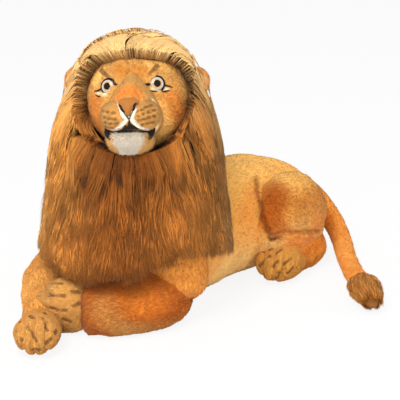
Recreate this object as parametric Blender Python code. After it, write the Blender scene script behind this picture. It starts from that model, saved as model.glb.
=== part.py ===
"""A large stuffed toy lion that lies on its belly, with its front paws crossed and its head turned to its left.

The body points its head along -X and its left flank along -Y, and it lies on the floor at z = 0.
Every stuffed piece is a closed form that swells and tapers, and a smaller piece is cut by the larger
ones that it is sewn to, which leaves a seam's open line between them.
"""

import math

import bmesh
import bpy
from mathutils import Matrix, Vector

for old in list(bpy.data.objects):
    bpy.data.objects.remove(old)

# What all sewn pieces share
SEAM_GAP = 0.0004
FLOOR_PRESS = 0.0005
FLOOR_OVERRUN = 0.1
NEAR_ROUND = 2.0
UP = Vector((0, 0, 1))
BACKWARD = Vector((1, 0, 0))


def plush(name, colour, roughness=0.95):
    """A matt or glossy material for one kind of cloth, fur or plastic."""
    material = bpy.data.materials.new(name)
    material.use_nodes = True
    shader = material.node_tree.nodes["Principled BSDF"]
    shader.inputs["Base Color"].default_value = (*colour, 1)
    shader.inputs["Roughness"].default_value = roughness
    shader.inputs["Metallic"].default_value = 0
    return material


GOLD_PLUSH = plush("gold_plush", (0.72, 0.33, 0.09))
PALE_PLUSH = plush("pale_plush", (0.80, 0.50, 0.20))
LONG_FUR = plush("long_fur", (0.42, 0.18, 0.05))
WHITE_FUR = plush("white_fur", (0.80, 0.72, 0.62))
NOSE_FELT = plush("nose_felt", (0.60, 0.24, 0.08), 0.8)
BLACK_FELT = plush("black_felt", (0.015, 0.01, 0.008), 0.8)
EYE_PLASTIC = plush("eye_plastic", (0.03, 0.02, 0.015), 0.1)
WASHER_PLASTIC = plush("washer_plastic", (0.75, 0.75, 0.72), 0.4)


def along(keys, share):
    """The value at a share of the way through evenly spaced keys, on a smooth curve through them."""
    last = len(keys) - 1
    place = min(max(share, 0.0), 1.0) * last
    i = min(int(place), last - 1)
    t = place - i
    before, here, there, after = (keys[min(max(i + k, 0), last)] for k in (-1, 0, 1, 2))
    return (
        here
        + (there - before) * (t / 2)
        + (before * 2 - here * 5 + there * 4 - after) * (t * t / 2)
        + (here * 3 - before - there * 3 + after) * (t * t * t / 2)
    )


def add_piece(name, rings, material, parent=None, closed=False):
    """Joins a list of rings into one solid body.

    Its first and last rings are single points or, where closed is set, neighbours.
    """
    shape = bmesh.new()
    rows = [[shape.verts.new(point) for point in ring] for ring in rings]
    following_rows = rows[1:] + rows[:1] if closed else rows[1:]
    for row, following in zip(rows, following_rows):
        count = max(len(row), len(following))
        for k in range(count):
            corners = [
                row[k % len(row)],
                row[(k + 1) % len(row)],
                following[(k + 1) % len(following)],
                following[k % len(following)],
            ]
            shape.faces.new(list(dict.fromkeys(corners)))
    bmesh.ops.triangulate(shape, faces=shape.faces)
    bmesh.ops.recalc_face_normals(shape, faces=shape.faces)
    mesh = bpy.data.meshes.new(name)
    shape.to_mesh(mesh)
    shape.free()
    mesh.shade_smooth()
    mesh.materials.append(material)
    piece = bpy.data.objects.new(name, mesh)
    bpy.context.scene.collection.objects.link(piece)
    piece.parent = parent
    return piece


def set_origin(piece, point):
    """Moves a piece's origin to a point without moving the piece."""
    piece.data.transform(Matrix.Translation(-point))
    piece.location = point


def end_round(share, first, last):
    """How much of its full size a form has at a share of its length, with elliptical ends."""
    fullness = 1.0
    if share < first:
        fullness *= math.sqrt(max(0.0, 1 - (1 - share / first) ** 2))
    if share > 1 - last:
        fullness *= math.sqrt(max(0.0, 1 - (1 - (1 - share) / last) ** 2))
    return fullness


def squircle(angle, power):
    """A point on a unit superellipse, which is a circle at power 2 and squarer above it."""
    c, s = math.cos(angle), math.sin(angle)
    return (
        math.copysign(abs(c) ** (2 / power), c),
        math.copysign(abs(s) ** (2 / power), s),
    )


def stuffed(name, path, widths, heights, material, rounds=(0.3, 0.3), ring_count=11, sides=16,
            power=NEAR_ROUND, top=UP, egg=0.0, toes=None, parent=None):
    """A stuffed tube along a smooth path. widths and heights are its half sizes at the path's keys.

    egg narrows its upper side by a share. toes is (depth, share of the length): the last part of the
    form then ends in four rounded toes that stand out by that depth.
    """
    rings = []
    step = 1 / (4 * ring_count)
    for k in range(ring_count + 1):
        share = (1 - math.cos(math.pi * k / ring_count)) / 2
        centre = along(path, share)
        forward = (along(path, share + step) - along(path, share - step)).normalized()
        side = forward.cross(top).normalized()
        lift = side.cross(forward)
        if k in (0, ring_count):
            rings.append([centre])
            continue
        full = end_round(share, *rounds)
        half_width = along(widths, share) * full
        half_height = along(heights, share) * full
        ring = []
        for n in range(sides):
            u, v = squircle(2 * math.pi * n / sides, power)
            point = centre + side * (half_width * u * (1 - egg * v)) + lift * (half_height * v)
            if toes:
                depth, reach = toes
                fade = max(0.0, 1 - (1 - share) / reach)
                lobe = (1 + math.cos(4 * math.pi * full * u - math.pi)) / 2
                point = point + forward * (depth * fade * lobe)
            ring.append(point)
        rings.append(ring)
    return add_piece(name, rings, material, parent)


def lumpy_ball(name, centre, half_sizes, material, bulges=(), ring_count=10, sides=18, parent=None):
    """A stuffed ball of three half sizes. Each bulge is (direction, amount, spread), in shares of it."""
    rings = []
    for k in range(ring_count + 1):
        polar = math.pi * k / ring_count
        ring = []
        for n in range(1 if k in (0, ring_count) else sides):
            turn = 2 * math.pi * n / sides
            unit = Vector((
                math.sin(polar) * math.cos(turn),
                math.sin(polar) * math.sin(turn),
                math.cos(polar),
            ))
            swell = 1.0
            for direction, amount, spread in bulges:
                apart = unit.angle(Vector(direction))
                swell += amount * math.exp(-((apart / spread) ** 2))
            ring.append(centre + Vector([u * size * swell for u, size in zip(unit, half_sizes)]))
        rings.append(ring)
    return add_piece(name, rings, material, parent)


def turned(name, profile, material, sides, parent, axis, start):
    """A piece turned about an axis, from (radius, height) pairs. It has a bore if none is on the axis."""
    aim = UP.rotation_difference(axis).to_matrix()
    rings = []
    for radius, height in profile:
        count = 1 if radius == 0 else sides
        rings.append([
            start + aim @ Vector((
                radius * math.cos(2 * math.pi * n / sides),
                radius * math.sin(2 * math.pi * n / sides),
                height,
            ))
            for n in range(count)
        ])
    return add_piece(name, rings, material, parent, closed=profile[0][0] != 0)


def hide(helper):
    """Marks a cutter or guide, so that it isn't part of the toy."""
    helper.hide_render = True
    helper.display_type = "WIRE"


def grown_copy(piece, by):
    """A hidden copy of a piece's own shape with its skin moved outwards, which cuts its neighbours."""
    mesh = piece.data.copy()
    for vertex in mesh.vertices:
        vertex.co += vertex.normal * by
    copy = bpy.data.objects.new(piece.name + "_room", mesh)
    bpy.context.scene.collection.objects.link(copy)
    copy.parent = piece.parent
    copy.location = piece.location
    hide(copy)
    return copy


rooms = {}


def subtract(piece, cutter):
    """Cuts a piece with a hidden solid."""
    cut = piece.modifiers.new("cut_" + cutter.name, "BOOLEAN")
    cut.operation = "DIFFERENCE"
    cut.solver = "EXACT"
    cut.object = cutter


def sewn_to(piece, *larger):
    """Cuts a piece by the larger pieces that it is sewn to, with a seam's gap."""
    for other in larger:
        if other.name not in rooms:
            rooms[other.name] = grown_copy(other, SEAM_GAP)
        subtract(piece, rooms[other.name])


def box(name, low, high):
    """A hidden box between two corners, which serves as a cutter."""
    shape = bmesh.new()
    bmesh.ops.create_cube(shape, size=1)
    mesh = bpy.data.meshes.new(name)
    shape.to_mesh(mesh)
    shape.free()
    middle, size = (low + high) / 2, high - low
    mesh.transform(Matrix.Translation(middle) @ Matrix.Diagonal((*size, 1)))
    helper = bpy.data.objects.new(name, mesh)
    bpy.context.scene.collection.objects.link(helper)
    hide(helper)
    return helper


# Torso: the long stuffed barrel from the chest to the rump, which lies on its belly
TORSO_LENGTH = 0.485
TORSO_WIDTH = 0.205
TORSO_HEIGHT = 0.195
TORSO_SQUARENESS = 2.3
TORSO_X_SHARES = (-0.50, -0.36, -0.20, -0.03, 0.14, 0.30, 0.40, 0.455)
TORSO_HALF_WIDTH_SHARES = (0.42, 0.49, 0.48, 0.43, 0.44, 0.48, 0.44, 0.34)
TORSO_HALF_HEIGHT_SHARES = (0.43, 0.485, 0.49, 0.485, 0.49, 0.455, 0.385, 0.29)


def on_torso(x_share, y_share, z_share):
    """A point given in shares of the torso's length, width and height. +Y is the toy's right."""
    return Vector((x_share * TORSO_LENGTH, y_share * TORSO_WIDTH, z_share * TORSO_HEIGHT))


def scaled(shares, size):
    """A table of shares times the size that they follow."""
    return [share * size for share in shares]


def laid(start, length, plan_shares, half_heights):
    """A path in plan from a start, whose form just presses on the floor along its whole length."""
    return [
        Vector((start.x + x * length, start.y + y * length, half - FLOOR_PRESS))
        for (x, y), half in zip(plan_shares, half_heights)
    ]


def held(start, length, shares):
    """A path in space from a start, in shares of a length."""
    return [start + Vector(share) * length for share in shares]


def mirrored(start, shares, side):
    """A start point and a table of shares for the toy's left (side -1) or its right (side 1)."""
    turned_shares = [(x, y * side, *rest) for x, y, *rest in shares]
    return Vector((start.x, start.y * side, start.z)), turned_shares


torso_half_heights = scaled(TORSO_HALF_HEIGHT_SHARES, TORSO_HEIGHT)
torso = stuffed(
    "torso",
    laid(Vector((0, 0, 0)), TORSO_LENGTH, [(x, 0) for x in TORSO_X_SHARES], torso_half_heights),
    scaled(TORSO_HALF_WIDTH_SHARES, TORSO_WIDTH),
    torso_half_heights,
    GOLD_PLUSH,
    rounds=(0.22, 0.26),
    ring_count=17,
    sides=20,
    power=TORSO_SQUARENESS,
)

# Neck: the upright stuffed column that carries the head
NECK_HEIGHT = 0.22
NECK_RADIUS = 0.098
NECK_START = on_torso(-0.3175, 0, 0.34)
NECK_PATH_SHARES = ((0, 0, 0), (-0.03, 0, 0.35), (-0.06, -0.02, 0.7), (-0.09, -0.05, 1.0))
NECK_RADIUS_SHARES = (0.95, 1.0, 0.88, 0.74)

neck_radii = scaled(NECK_RADIUS_SHARES, NECK_RADIUS)
neck = stuffed(
    "neck", held(NECK_START, NECK_HEIGHT, NECK_PATH_SHARES), neck_radii, neck_radii, GOLD_PLUSH,
    rounds=(0.2, 0.25), ring_count=8, sides=16, top=BACKWARD,
)

# Haunches: the two big thighs on the sides of the rump, over the feet
HAUNCH_LENGTH = 0.180
HAUNCH_WIDTH = 0.112
HAUNCH_HEIGHT = 0.160
HAUNCH_CENTRES = {-1: on_torso(0.24, -0.38, 0.465), 1: on_torso(0.22, 0.38, 0.43)}
HAUNCH_SIZE_SHARES = {-1: 1.0, 1: 0.95}
HAUNCH_BULGES_SHARES = (((0.2, 0.75, 0.6), 0.05, 0.8), ((-0.8, 0.4, -0.3), -0.06, 0.6))

# Hind legs: the lower legs and feet, which lie on the floor along the flanks and point forward
HIND_LEG_LENGTH = 0.15
HIND_LEG_HALF_WIDTH = 0.030
HIND_LEG_HALF_HEIGHT = 0.036
HIND_LEG_START = on_torso(0.395, 0.45, 0)
HIND_LEG_PLAN_SHARES = ((0, 0), (-0.27, 0.04), (-0.5, 0.05), (-0.75, 0.07))
HIND_LEG_HALF_SHARES = (0.9, 1.05, 1.0, 0.95)

# Hind paws: the padded toes in front of each foot
HIND_PAW_LENGTH = 0.088
HIND_PAW_HALF_WIDTH = 0.038
HIND_PAW_HALF_HEIGHT = 0.033
HIND_PAW_START = on_torso(0.235, 0.46, 0)
HIND_PAW_PLAN_SHARES = ((0.10, 0), (-0.24, 0.05), (-0.59, 0.14), (-0.92, 0.28))
HIND_PAW_HALF_SHARES = (0.86, 0.98, 1.04, 0.94)
TOE_DEPTH = 0.006
TOE_REACH_SHARE = 0.5

haunches, hind_legs, hind_paws = {}, {}, {}
for side, suffix in ((-1, "_left"), (1, "_right")):
    size_share = HAUNCH_SIZE_SHARES[side]
    haunches[side] = lumpy_ball(
        "haunch" + suffix,
        HAUNCH_CENTRES[side],
        scaled((HAUNCH_LENGTH, HAUNCH_WIDTH, HAUNCH_HEIGHT), size_share / 2),
        GOLD_PLUSH,
        [((x, y * side, z), amount, spread) for (x, y, z), amount, spread in HAUNCH_BULGES_SHARES],
    )
    leg_start, leg_plan = mirrored(HIND_LEG_START, HIND_LEG_PLAN_SHARES, side)
    leg_heights = scaled(HIND_LEG_HALF_SHARES, HIND_LEG_HALF_HEIGHT)
    hind_legs[side] = stuffed(
        "hind_leg" + suffix,
        laid(leg_start, HIND_LEG_LENGTH, leg_plan, leg_heights),
        scaled(HIND_LEG_HALF_SHARES, HIND_LEG_HALF_WIDTH),
        leg_heights,
        PALE_PLUSH,
        rounds=(0.3, 0.2),
        ring_count=8,
        sides=16,
    )
    paw_start, paw_plan = mirrored(HIND_PAW_START, HIND_PAW_PLAN_SHARES, side)
    paw_heights = scaled(HIND_PAW_HALF_SHARES, HIND_PAW_HALF_HEIGHT)
    hind_paws[side] = stuffed(
        "hind_paw" + suffix,
        laid(paw_start, HIND_PAW_LENGTH, paw_plan, paw_heights),
        scaled(HIND_PAW_HALF_SHARES, HIND_PAW_HALF_WIDTH),
        paw_heights,
        PALE_PLUSH,
        rounds=(0.3, 0.5),
        toes=(TOE_DEPTH, TOE_REACH_SHARE),
    )

# Upper arms: the shoulders, half hidden by the mane
UPPER_ARM_LENGTH = 0.14
UPPER_ARM_RADIUS = 0.048
LEFT_SHOULDER = on_torso(-0.33, -0.32, 0.72)
LEFT_UPPER_ARM_SHARES = ((0, 0, 0), (-0.02, -0.10, -0.25), (-0.06, -0.16, -0.5), (-0.12, -0.14, -0.72))
RIGHT_SHOULDER = on_torso(-0.33, 0.36, 0.72)
RIGHT_UPPER_ARM_SHARES = ((0, 0, 0), (0, 0.24, -0.22), (-0.05, 0.36, -0.5), (-0.12, 0.36, -0.72))
UPPER_ARM_RADIUS_SHARES = (0.85, 1.0, 1.0, 0.85)

arm_radii = scaled(UPPER_ARM_RADIUS_SHARES, UPPER_ARM_RADIUS)
upper_arms = {}
for side, suffix, shoulder, shares in (
    (-1, "_left", LEFT_SHOULDER, LEFT_UPPER_ARM_SHARES),
    (1, "_right", RIGHT_SHOULDER, RIGHT_UPPER_ARM_SHARES),
):
    upper_arms[side] = stuffed(
        "upper_arm" + suffix, held(shoulder, UPPER_ARM_LENGTH, shares), arm_radii, arm_radii,
        GOLD_PLUSH, rounds=(0.3, 0.35), ring_count=9, sides=14, top=BACKWARD,
    )

# Forearms: they lie on the floor, and the left one crosses in front of the right one's wrist
FOREARM_LENGTH = 0.22
FOREARM_RADIUS = 0.046
LEFT_ELBOW = on_torso(-0.30, -0.31, 0)
LEFT_FOREARM_PLAN_SHARES = ((0, 0), (-0.22, -0.08), (-0.43, -0.04), (-0.60, 0.09), (-0.711, 0.224))
LEFT_FOREARM_RADIUS_SHARES = (0.84, 0.97, 0.93, 0.87, 0.82)
RIGHT_ELBOW = on_torso(-0.32, 0.585, 0)
RIGHT_FOREARM_PLAN_SHARES = ((0, 0), (-0.30, -0.01), (-0.57, -0.16), (-0.76, -0.325), (-0.93, -0.476))
RIGHT_FOREARM_RADIUS_SHARES = (0.92, 0.97, 0.88, 0.70, 0.63)

forearms = {}
for side, suffix, elbow, plan, shares in (
    (-1, "_left", LEFT_ELBOW, LEFT_FOREARM_PLAN_SHARES, LEFT_FOREARM_RADIUS_SHARES),
    (1, "_right", RIGHT_ELBOW, RIGHT_FOREARM_PLAN_SHARES, RIGHT_FOREARM_RADIUS_SHARES),
):
    radii = scaled(shares, FOREARM_RADIUS)
    forearms[side] = stuffed(
        "forearm" + suffix, laid(elbow, FOREARM_LENGTH, plan, radii), radii, radii, GOLD_PLUSH,
        rounds=(0.25, 0.12), ring_count=12,
    )

# Front paws: the right one lies flat, and the left one lies on its side over the right wrist
FRONT_PAW_LENGTH = 0.096
FRONT_PAW_HALF_WIDTH = 0.034
FRONT_PAW_HALF_HEIGHT = 0.028
RIGHT_PAW_PLAN_SHARES = ((0.14, 0.13), (-0.13, -0.11), (-0.41, -0.35), (-0.67, -0.58))
RIGHT_PAW_HALF_SHARES = (0.84, 0.94, 1.04, 0.94)
LEFT_PAW_HALF_WIDTH = 0.027
LEFT_PAW_HALF_HEIGHT = 0.042
LEFT_PAW_SHARES = ((0.14, -0.12, 0), (-0.07, 0.10, 0.01), (-0.27, 0.30, 0.05), (-0.44, 0.48, 0.10))
LEFT_PAW_HALF_SHARES = (0.80, 0.98, 1.02, 0.94)
LEFT_PAW_TOP = Vector((0.755, 0.656, 0))

right_wrist = laid(
    RIGHT_ELBOW, FOREARM_LENGTH, RIGHT_FOREARM_PLAN_SHARES[-1:], (0,)
)[0]
paw_heights = scaled(RIGHT_PAW_HALF_SHARES, FRONT_PAW_HALF_HEIGHT)
front_paws = {}
front_paws[1] = stuffed(
    "front_paw_right",
    laid(right_wrist, FRONT_PAW_LENGTH, RIGHT_PAW_PLAN_SHARES, paw_heights),
    scaled(RIGHT_PAW_HALF_SHARES, FRONT_PAW_HALF_WIDTH),
    paw_heights,
    PALE_PLUSH,
    rounds=(0.3, 0.5),
    toes=(TOE_DEPTH, TOE_REACH_SHARE),
)
left_wrist = laid(LEFT_ELBOW, FOREARM_LENGTH, LEFT_FOREARM_PLAN_SHARES[-1:], (0,))[0]
left_wrist.z = LEFT_PAW_HALF_HEIGHT
front_paws[-1] = stuffed(
    "front_paw_left",
    held(left_wrist, FRONT_PAW_LENGTH, LEFT_PAW_SHARES),
    scaled(LEFT_PAW_HALF_SHARES, LEFT_PAW_HALF_HEIGHT),
    scaled(LEFT_PAW_HALF_SHARES, LEFT_PAW_HALF_WIDTH),
    PALE_PLUSH,
    rounds=(0.3, 0.5),
    top=LEFT_PAW_TOP,
    toes=(TOE_DEPTH, TOE_REACH_SHARE),
)

# Head: a stuffed ball, turned to the toy's left, tipped up and leaning a little
HEAD_WIDTH = 0.156
HEAD_DEPTH = 0.160
HEAD_HEIGHT = 0.152
HEAD_TURN = math.radians(-53.5)
HEAD_PITCH = math.radians(14)
HEAD_ROLL = math.radians(3)
HEAD_RISE_SHARE = 0.38
HEAD_SHIFT = Vector((0, -0.008, 0))
HEAD_BULGES_SHARES = (
    ((0.55, -0.6, -0.55), 0.06, 0.6), ((-0.55, -0.6, -0.55), 0.06, 0.6),
    ((0.26, -0.78, 0.57), 0.05, 0.24), ((-0.26, -0.78, 0.57), 0.05, 0.24), ((0.03, -0.66, -0.75), 0.18, 0.5),
)

neck_top = held(NECK_START, NECK_HEIGHT, NECK_PATH_SHARES[-1:])[0]
head_pose = bpy.data.objects.new("head_pose", None)
bpy.context.scene.collection.objects.link(head_pose)
head_centre = neck_top + UP * (HEAD_HEIGHT * HEAD_RISE_SHARE) + HEAD_SHIFT
head_pose.matrix_world = (
    Matrix.Translation(head_centre)
    @ Matrix.Rotation(HEAD_TURN, 4, "Z")
    @ Matrix.Rotation(-HEAD_PITCH, 4, "X")
    @ Matrix.Rotation(-HEAD_ROLL, 4, "Y")
)


def on_head(x_share, y_share, z_share):
    """A point in the head's own frame, in half sizes of the head. +X is its left, -Y its front."""
    return Vector((
        x_share * HEAD_WIDTH / 2,
        y_share * HEAD_DEPTH / 2,
        z_share * HEAD_HEIGHT / 2,
    ))


head = lumpy_ball(
    "head", on_head(0, 0, 0), on_head(1, 1, 1), GOLD_PLUSH, HEAD_BULGES_SHARES,
    ring_count=14, sides=22, parent=head_pose,
)

# Muzzle: the bridge between the eyes and the snout below it
MUZZLE_LENGTH = 0.100
MUZZLE_HALF_WIDTH = 0.039
MUZZLE_HALF_HEIGHT = 0.058
MUZZLE_EGG_SHARE = 0.45
MUZZLE_START = on_head(0, -0.45, -0.10)
MUZZLE_PATH_SHARES = ((0, 0, 0), (0, -0.33, -0.05), (0, -0.66, -0.08), (0, -1.0, -0.11))
MUZZLE_WIDTH_SHARES = (0.90, 0.98, 1.02, 0.88)
MUZZLE_HEIGHT_SHARES = (0.95, 0.85, 0.70, 0.52)

muzzle = stuffed(
    "muzzle",
    held(MUZZLE_START, MUZZLE_LENGTH, MUZZLE_PATH_SHARES),
    scaled(MUZZLE_WIDTH_SHARES, MUZZLE_HALF_WIDTH),
    scaled(MUZZLE_HEIGHT_SHARES, MUZZLE_HALF_HEIGHT),
    PALE_PLUSH,
    rounds=(0.15, 0.45),
    ring_count=12,
    sides=18,
    egg=MUZZLE_EGG_SHARE,
    parent=head_pose,
)

# Whisker pads, nose, mouth and chin
PAD_HALF_WIDTH = 0.021
PAD_HALF_DEPTH = 0.026
PAD_HALF_HEIGHT = 0.021
PAD_CENTRE_SHARES = (0.285, -1.42, -0.32)
MOUTH_HALF_WIDTH = 0.0365
MOUTH_HALF_DEPTH = 0.026
MOUTH_HALF_HEIGHT = 0.016
MOUTH_CENTRE_SHARES = (-0.05, -1.25, -0.61)
CHIN_HALF_WIDTH = 0.030
CHIN_HALF_DEPTH = 0.026
CHIN_HALF_HEIGHT = 0.0185
CHIN_CENTRE_SHARES = (-0.05, -1.18, -0.79)
NOSE_HEIGHT = 0.025
NOSE_HALF_WIDTH = 0.018
NOSE_HALF_DEPTH = 0.010
NOSE_TOP_SHARES = (0, -1.62, 0.0)
NOSE_PATH_SHARES = ((0, 0.10, 0), (0, -0.08, -0.33), (0, -0.15, -0.66), (0, 0.0, -1.0))
NOSE_WIDTH_SHARES = (1.0, 0.80, 0.36, 0.22)
NOSE_DEPTH_SHARES = (0.8, 1.0, 0.9, 0.6)

pads = {}
for side, suffix in ((1, "_left"), (-1, "_right")):
    x, y, z = PAD_CENTRE_SHARES
    pads[side] = lumpy_ball(
        "whisker_pad" + suffix, on_head(x * side, y, z),
        (PAD_HALF_WIDTH, PAD_HALF_DEPTH, PAD_HALF_HEIGHT), PALE_PLUSH,
        ring_count=10, sides=16, parent=head_pose,
    )
mouth_lining = lumpy_ball(
    "mouth_lining", on_head(*MOUTH_CENTRE_SHARES),
    (MOUTH_HALF_WIDTH, MOUTH_HALF_DEPTH, MOUTH_HALF_HEIGHT), BLACK_FELT,
    ring_count=8, parent=head_pose,
)
chin_tuft = lumpy_ball(
    "chin_tuft", on_head(*CHIN_CENTRE_SHARES),
    (CHIN_HALF_WIDTH, CHIN_HALF_DEPTH, CHIN_HALF_HEIGHT), WHITE_FUR,
    ring_count=10, sides=16, parent=head_pose,
)
nose = stuffed(
    "nose", held(on_head(*NOSE_TOP_SHARES), NOSE_HEIGHT, NOSE_PATH_SHARES),
    scaled(NOSE_WIDTH_SHARES, NOSE_HALF_WIDTH), scaled(NOSE_DEPTH_SHARES, NOSE_HALF_DEPTH),
    NOSE_FELT, rounds=(0.35, 0.3), ring_count=10, sides=16, top=Vector((0, -1, 0)), parent=head_pose,
)

# Eyes: domed plastic eyes on shanks, which pass through the face and lock in washers
EYE_RADIUS = 0.011
EYE_DOME_HEIGHT = 0.0052
EYE_RIM_HEIGHT = 0.0012
EYE_PLAY = 0.0004
EYE_SINK = 0.0020
SHANK_RADIUS = 0.003
SHANK_LENGTH = 0.014
WASHER_RADIUS = 0.009
WASHER_THICKNESS = 0.002
WASHER_DEPTH = 0.008
EYE_SIDES = 20
EYE_DOME_STEPS = 6
EYE_PLACE_SHARES = {1: (0.445, 0.27), -1: (-0.48, 0.25)}
EYE_AIM_SHARES = (0.30, -0.94, 0.14)


def face_depth(x_share, z_share):
    """The head's front surface at a place, in half depths."""
    return -math.sqrt(1 - x_share ** 2 - z_share ** 2)


eyes, washers = {}, {}
for side, suffix in ((1, "_left"), (-1, "_right")):
    x_share, z_share = EYE_PLACE_SHARES[side]
    seat = on_head(x_share, face_depth(x_share, z_share), z_share)
    aim_x, aim_y, aim_z = EYE_AIM_SHARES
    aim = Vector((aim_x * side, aim_y, aim_z)).normalized()
    back = seat - aim * EYE_SINK
    dome = [
        (EYE_RADIUS * math.cos(turn), EYE_DOME_HEIGHT * math.sin(turn))
        for turn in (math.pi / 2 * step / EYE_DOME_STEPS for step in range(1, EYE_DOME_STEPS))
    ]
    eyes[side] = turned(
        "eye" + suffix,
        [
            (0, -SHANK_LENGTH),
            (SHANK_RADIUS, -SHANK_LENGTH),
            (SHANK_RADIUS, 0),
            (EYE_RADIUS, 0),
            (EYE_RADIUS, EYE_RIM_HEIGHT),
            *[(radius, height + EYE_RIM_HEIGHT) for radius, height in dome],
            (0, EYE_DOME_HEIGHT + EYE_RIM_HEIGHT),
        ],
        EYE_PLASTIC, EYE_SIDES, head_pose, aim, back,
    )
    washer_back = -WASHER_DEPTH - WASHER_THICKNESS
    washers[side] = turned(
        "eye_washer" + suffix,
        [
            (SHANK_RADIUS + EYE_PLAY, washer_back),
            (WASHER_RADIUS, washer_back),
            (WASHER_RADIUS, -WASHER_DEPTH),
            (SHANK_RADIUS + EYE_PLAY, -WASHER_DEPTH),
        ],
        WASHER_PLASTIC, EYE_SIDES, head_pose, aim, back,
    )
    socket = turned(
        "eye_socket" + suffix,
        [
            (0, -SHANK_LENGTH - EYE_PLAY),
            (SHANK_RADIUS + 2 * EYE_PLAY, -SHANK_LENGTH - EYE_PLAY),
            (SHANK_RADIUS + 2 * EYE_PLAY, washer_back - EYE_PLAY),
            (WASHER_RADIUS + EYE_PLAY, washer_back - EYE_PLAY),
            (WASHER_RADIUS + EYE_PLAY, EYE_PLAY - WASHER_DEPTH),
            (SHANK_RADIUS + 2 * EYE_PLAY, EYE_PLAY - WASHER_DEPTH),
            (SHANK_RADIUS + 2 * EYE_PLAY, -EYE_PLAY),
            (EYE_RADIUS + EYE_PLAY, -EYE_PLAY),
            (EYE_RADIUS + EYE_PLAY, EYE_RADIUS),
            (0, EYE_RADIUS),
        ],
        EYE_PLASTIC, EYE_SIDES, head_pose, aim, back,
    )
    hide(socket)
    subtract(head, socket)
    subtract(muzzle, socket)

# Ears: padded flaps whose rolled roots turn in grooves at the edge of the mane
EAR_HEIGHT = 0.042
EAR_REACH = 0.033
EAR_HALF_THICKNESS = 0.0068
EAR_ROOT_RADIUS = 0.0072
EAR_PLAY = 0.0004
EAR_ROOM_REACH = 0.020
EAR_ROOM_PLACE = 0.016
EAR_ROOM_HALF_WIDTH = 0.018
EAR_ROOM_OVER = 0.008
EAR_LEAN = math.radians(12)
EAR_ROOT_SHARES = {1: (1.05, 0.05, 0.28), -1: (-1.13, 0.05, 0.38)}
EAR_HALF_REACH_SHARES = (0.36, 0.46, 0.50, 0.42)
EAR_THICKNESS_SHARES = (0.85, 1.0, 1.0, 0.85)

ears, ear_grooves = {}, []
for side, suffix in ((1, "_left"), (-1, "_right")):
    root = on_head(*EAR_ROOT_SHARES[side])
    along_root = Vector((-math.sin(EAR_LEAN) * side, 0, math.cos(EAR_LEAN)))
    outwards = Vector((math.cos(EAR_LEAN) * side, 0, math.sin(EAR_LEAN)))
    half_reaches = scaled(EAR_HALF_REACH_SHARES, EAR_REACH)
    last = len(half_reaches) - 1
    path = [
        root
        + along_root * (EAR_HEIGHT * (k / last - 1 / 2))
        + outwards * (half_reach - EAR_ROOT_RADIUS)
        for k, half_reach in enumerate(half_reaches)
    ]
    ears[side] = stuffed(
        "ear" + suffix, path, half_reaches, scaled(EAR_THICKNESS_SHARES, EAR_HALF_THICKNESS), PALE_PLUSH,
        rounds=(0.45, 0.45), ring_count=12, sides=16, top=Vector((0, 1, 0)), parent=head_pose,
    )
    set_origin(ears[side], root)
    groove_radius = EAR_ROOT_RADIUS + EAR_PLAY
    groove = turned(
        "ear_groove" + suffix,
        [
            (0, -EAR_HEIGHT / 2 - EAR_PLAY),
            (groove_radius, -EAR_HEIGHT / 2 - EAR_PLAY),
            (groove_radius, EAR_HEIGHT / 2 + EAR_PLAY),
            (0, EAR_HEIGHT / 2 + EAR_PLAY),
        ],
        PALE_PLUSH, EYE_SIDES, head_pose, along_root, root,
    )
    hide(groove)
    room = lumpy_ball(
        "ear_room" + suffix, root + outwards * EAR_ROOM_PLACE,
        (EAR_ROOM_REACH, EAR_ROOM_HALF_WIDTH, EAR_HEIGHT / 2 + EAR_ROOM_OVER), PALE_PLUSH,
        parent=head_pose,
    )
    hide(room)
    ear_grooves += [groove, room]

# Mane: five fur panels, a bib under the chin, two sides, a nape and a crown, round an upright axis
MANE_RADIUS = 0.156
MANE_BASE = 0.045
MANE_HEIGHT = 0.34
MANE_THICKNESS = 0.058
MANE_SPLIT = 0.0006
CROWN_HEIGHT = 0.060
MANE_AXIS = on_torso(-0.3588, -0.034, 0)
MANE_LEAN = Vector((0.004, -0.005, 0))
MANE_RADIUS_SHARES = (0.965, 0.958, 0.933, 0.893, 0.86, 0.82, 0.72, 0.58)
MANE_BACK_FLAT_SHARE = 0.22
MANE_HEM_SHARES = (0.12, 0.21, 0.22, 0.18, 0.36, 0.385, 0.36, 0.22, 0.19, 0.19, 0.19, 0.10, 0.12)
BIB_TOP_SHARE = 0.76
BIB_EDGE = math.radians(50)
NAPE_EDGE = math.radians(120)
PANEL_STEP = math.radians(10)
PANEL_ROWS = 8
HEM_THINNING_SHARE = 0.5
OPENING_LENGTH = 0.22
OPENING_START = on_head(0, -0.10, -0.04)
OPENING_PATH_SHARES = ((0, 0, 0), (0, -0.33, 0), (0, -0.66, 0), (0, -1, 0))
OPENING_HALF_WIDTH = 0.072
OPENING_HALF_HEIGHT = 0.067
OPENING_GROWTH_SHARES = (1.0, 1.1, 1.25, 1.4)

face_opening = stuffed(
    "face_opening", held(OPENING_START, OPENING_LENGTH, OPENING_PATH_SHARES),
    scaled(OPENING_GROWTH_SHARES, OPENING_HALF_WIDTH),
    scaled(OPENING_GROWTH_SHARES, OPENING_HALF_HEIGHT),
    GOLD_PLUSH, rounds=(0.08, 0.08), sides=24, parent=head_pose,
)
hide(face_opening)


def mane_point(bearing, radius, height):
    """A point of the mane. The bearing turns from the way the face looks towards the toy's left."""
    turn = HEAD_TURN - math.pi / 2 + bearing
    lean = MANE_LEAN * ((height - MANE_BASE) / MANE_HEIGHT)
    return MANE_AXIS + lean + Vector((radius * math.cos(turn), radius * math.sin(turn), height))


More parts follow.
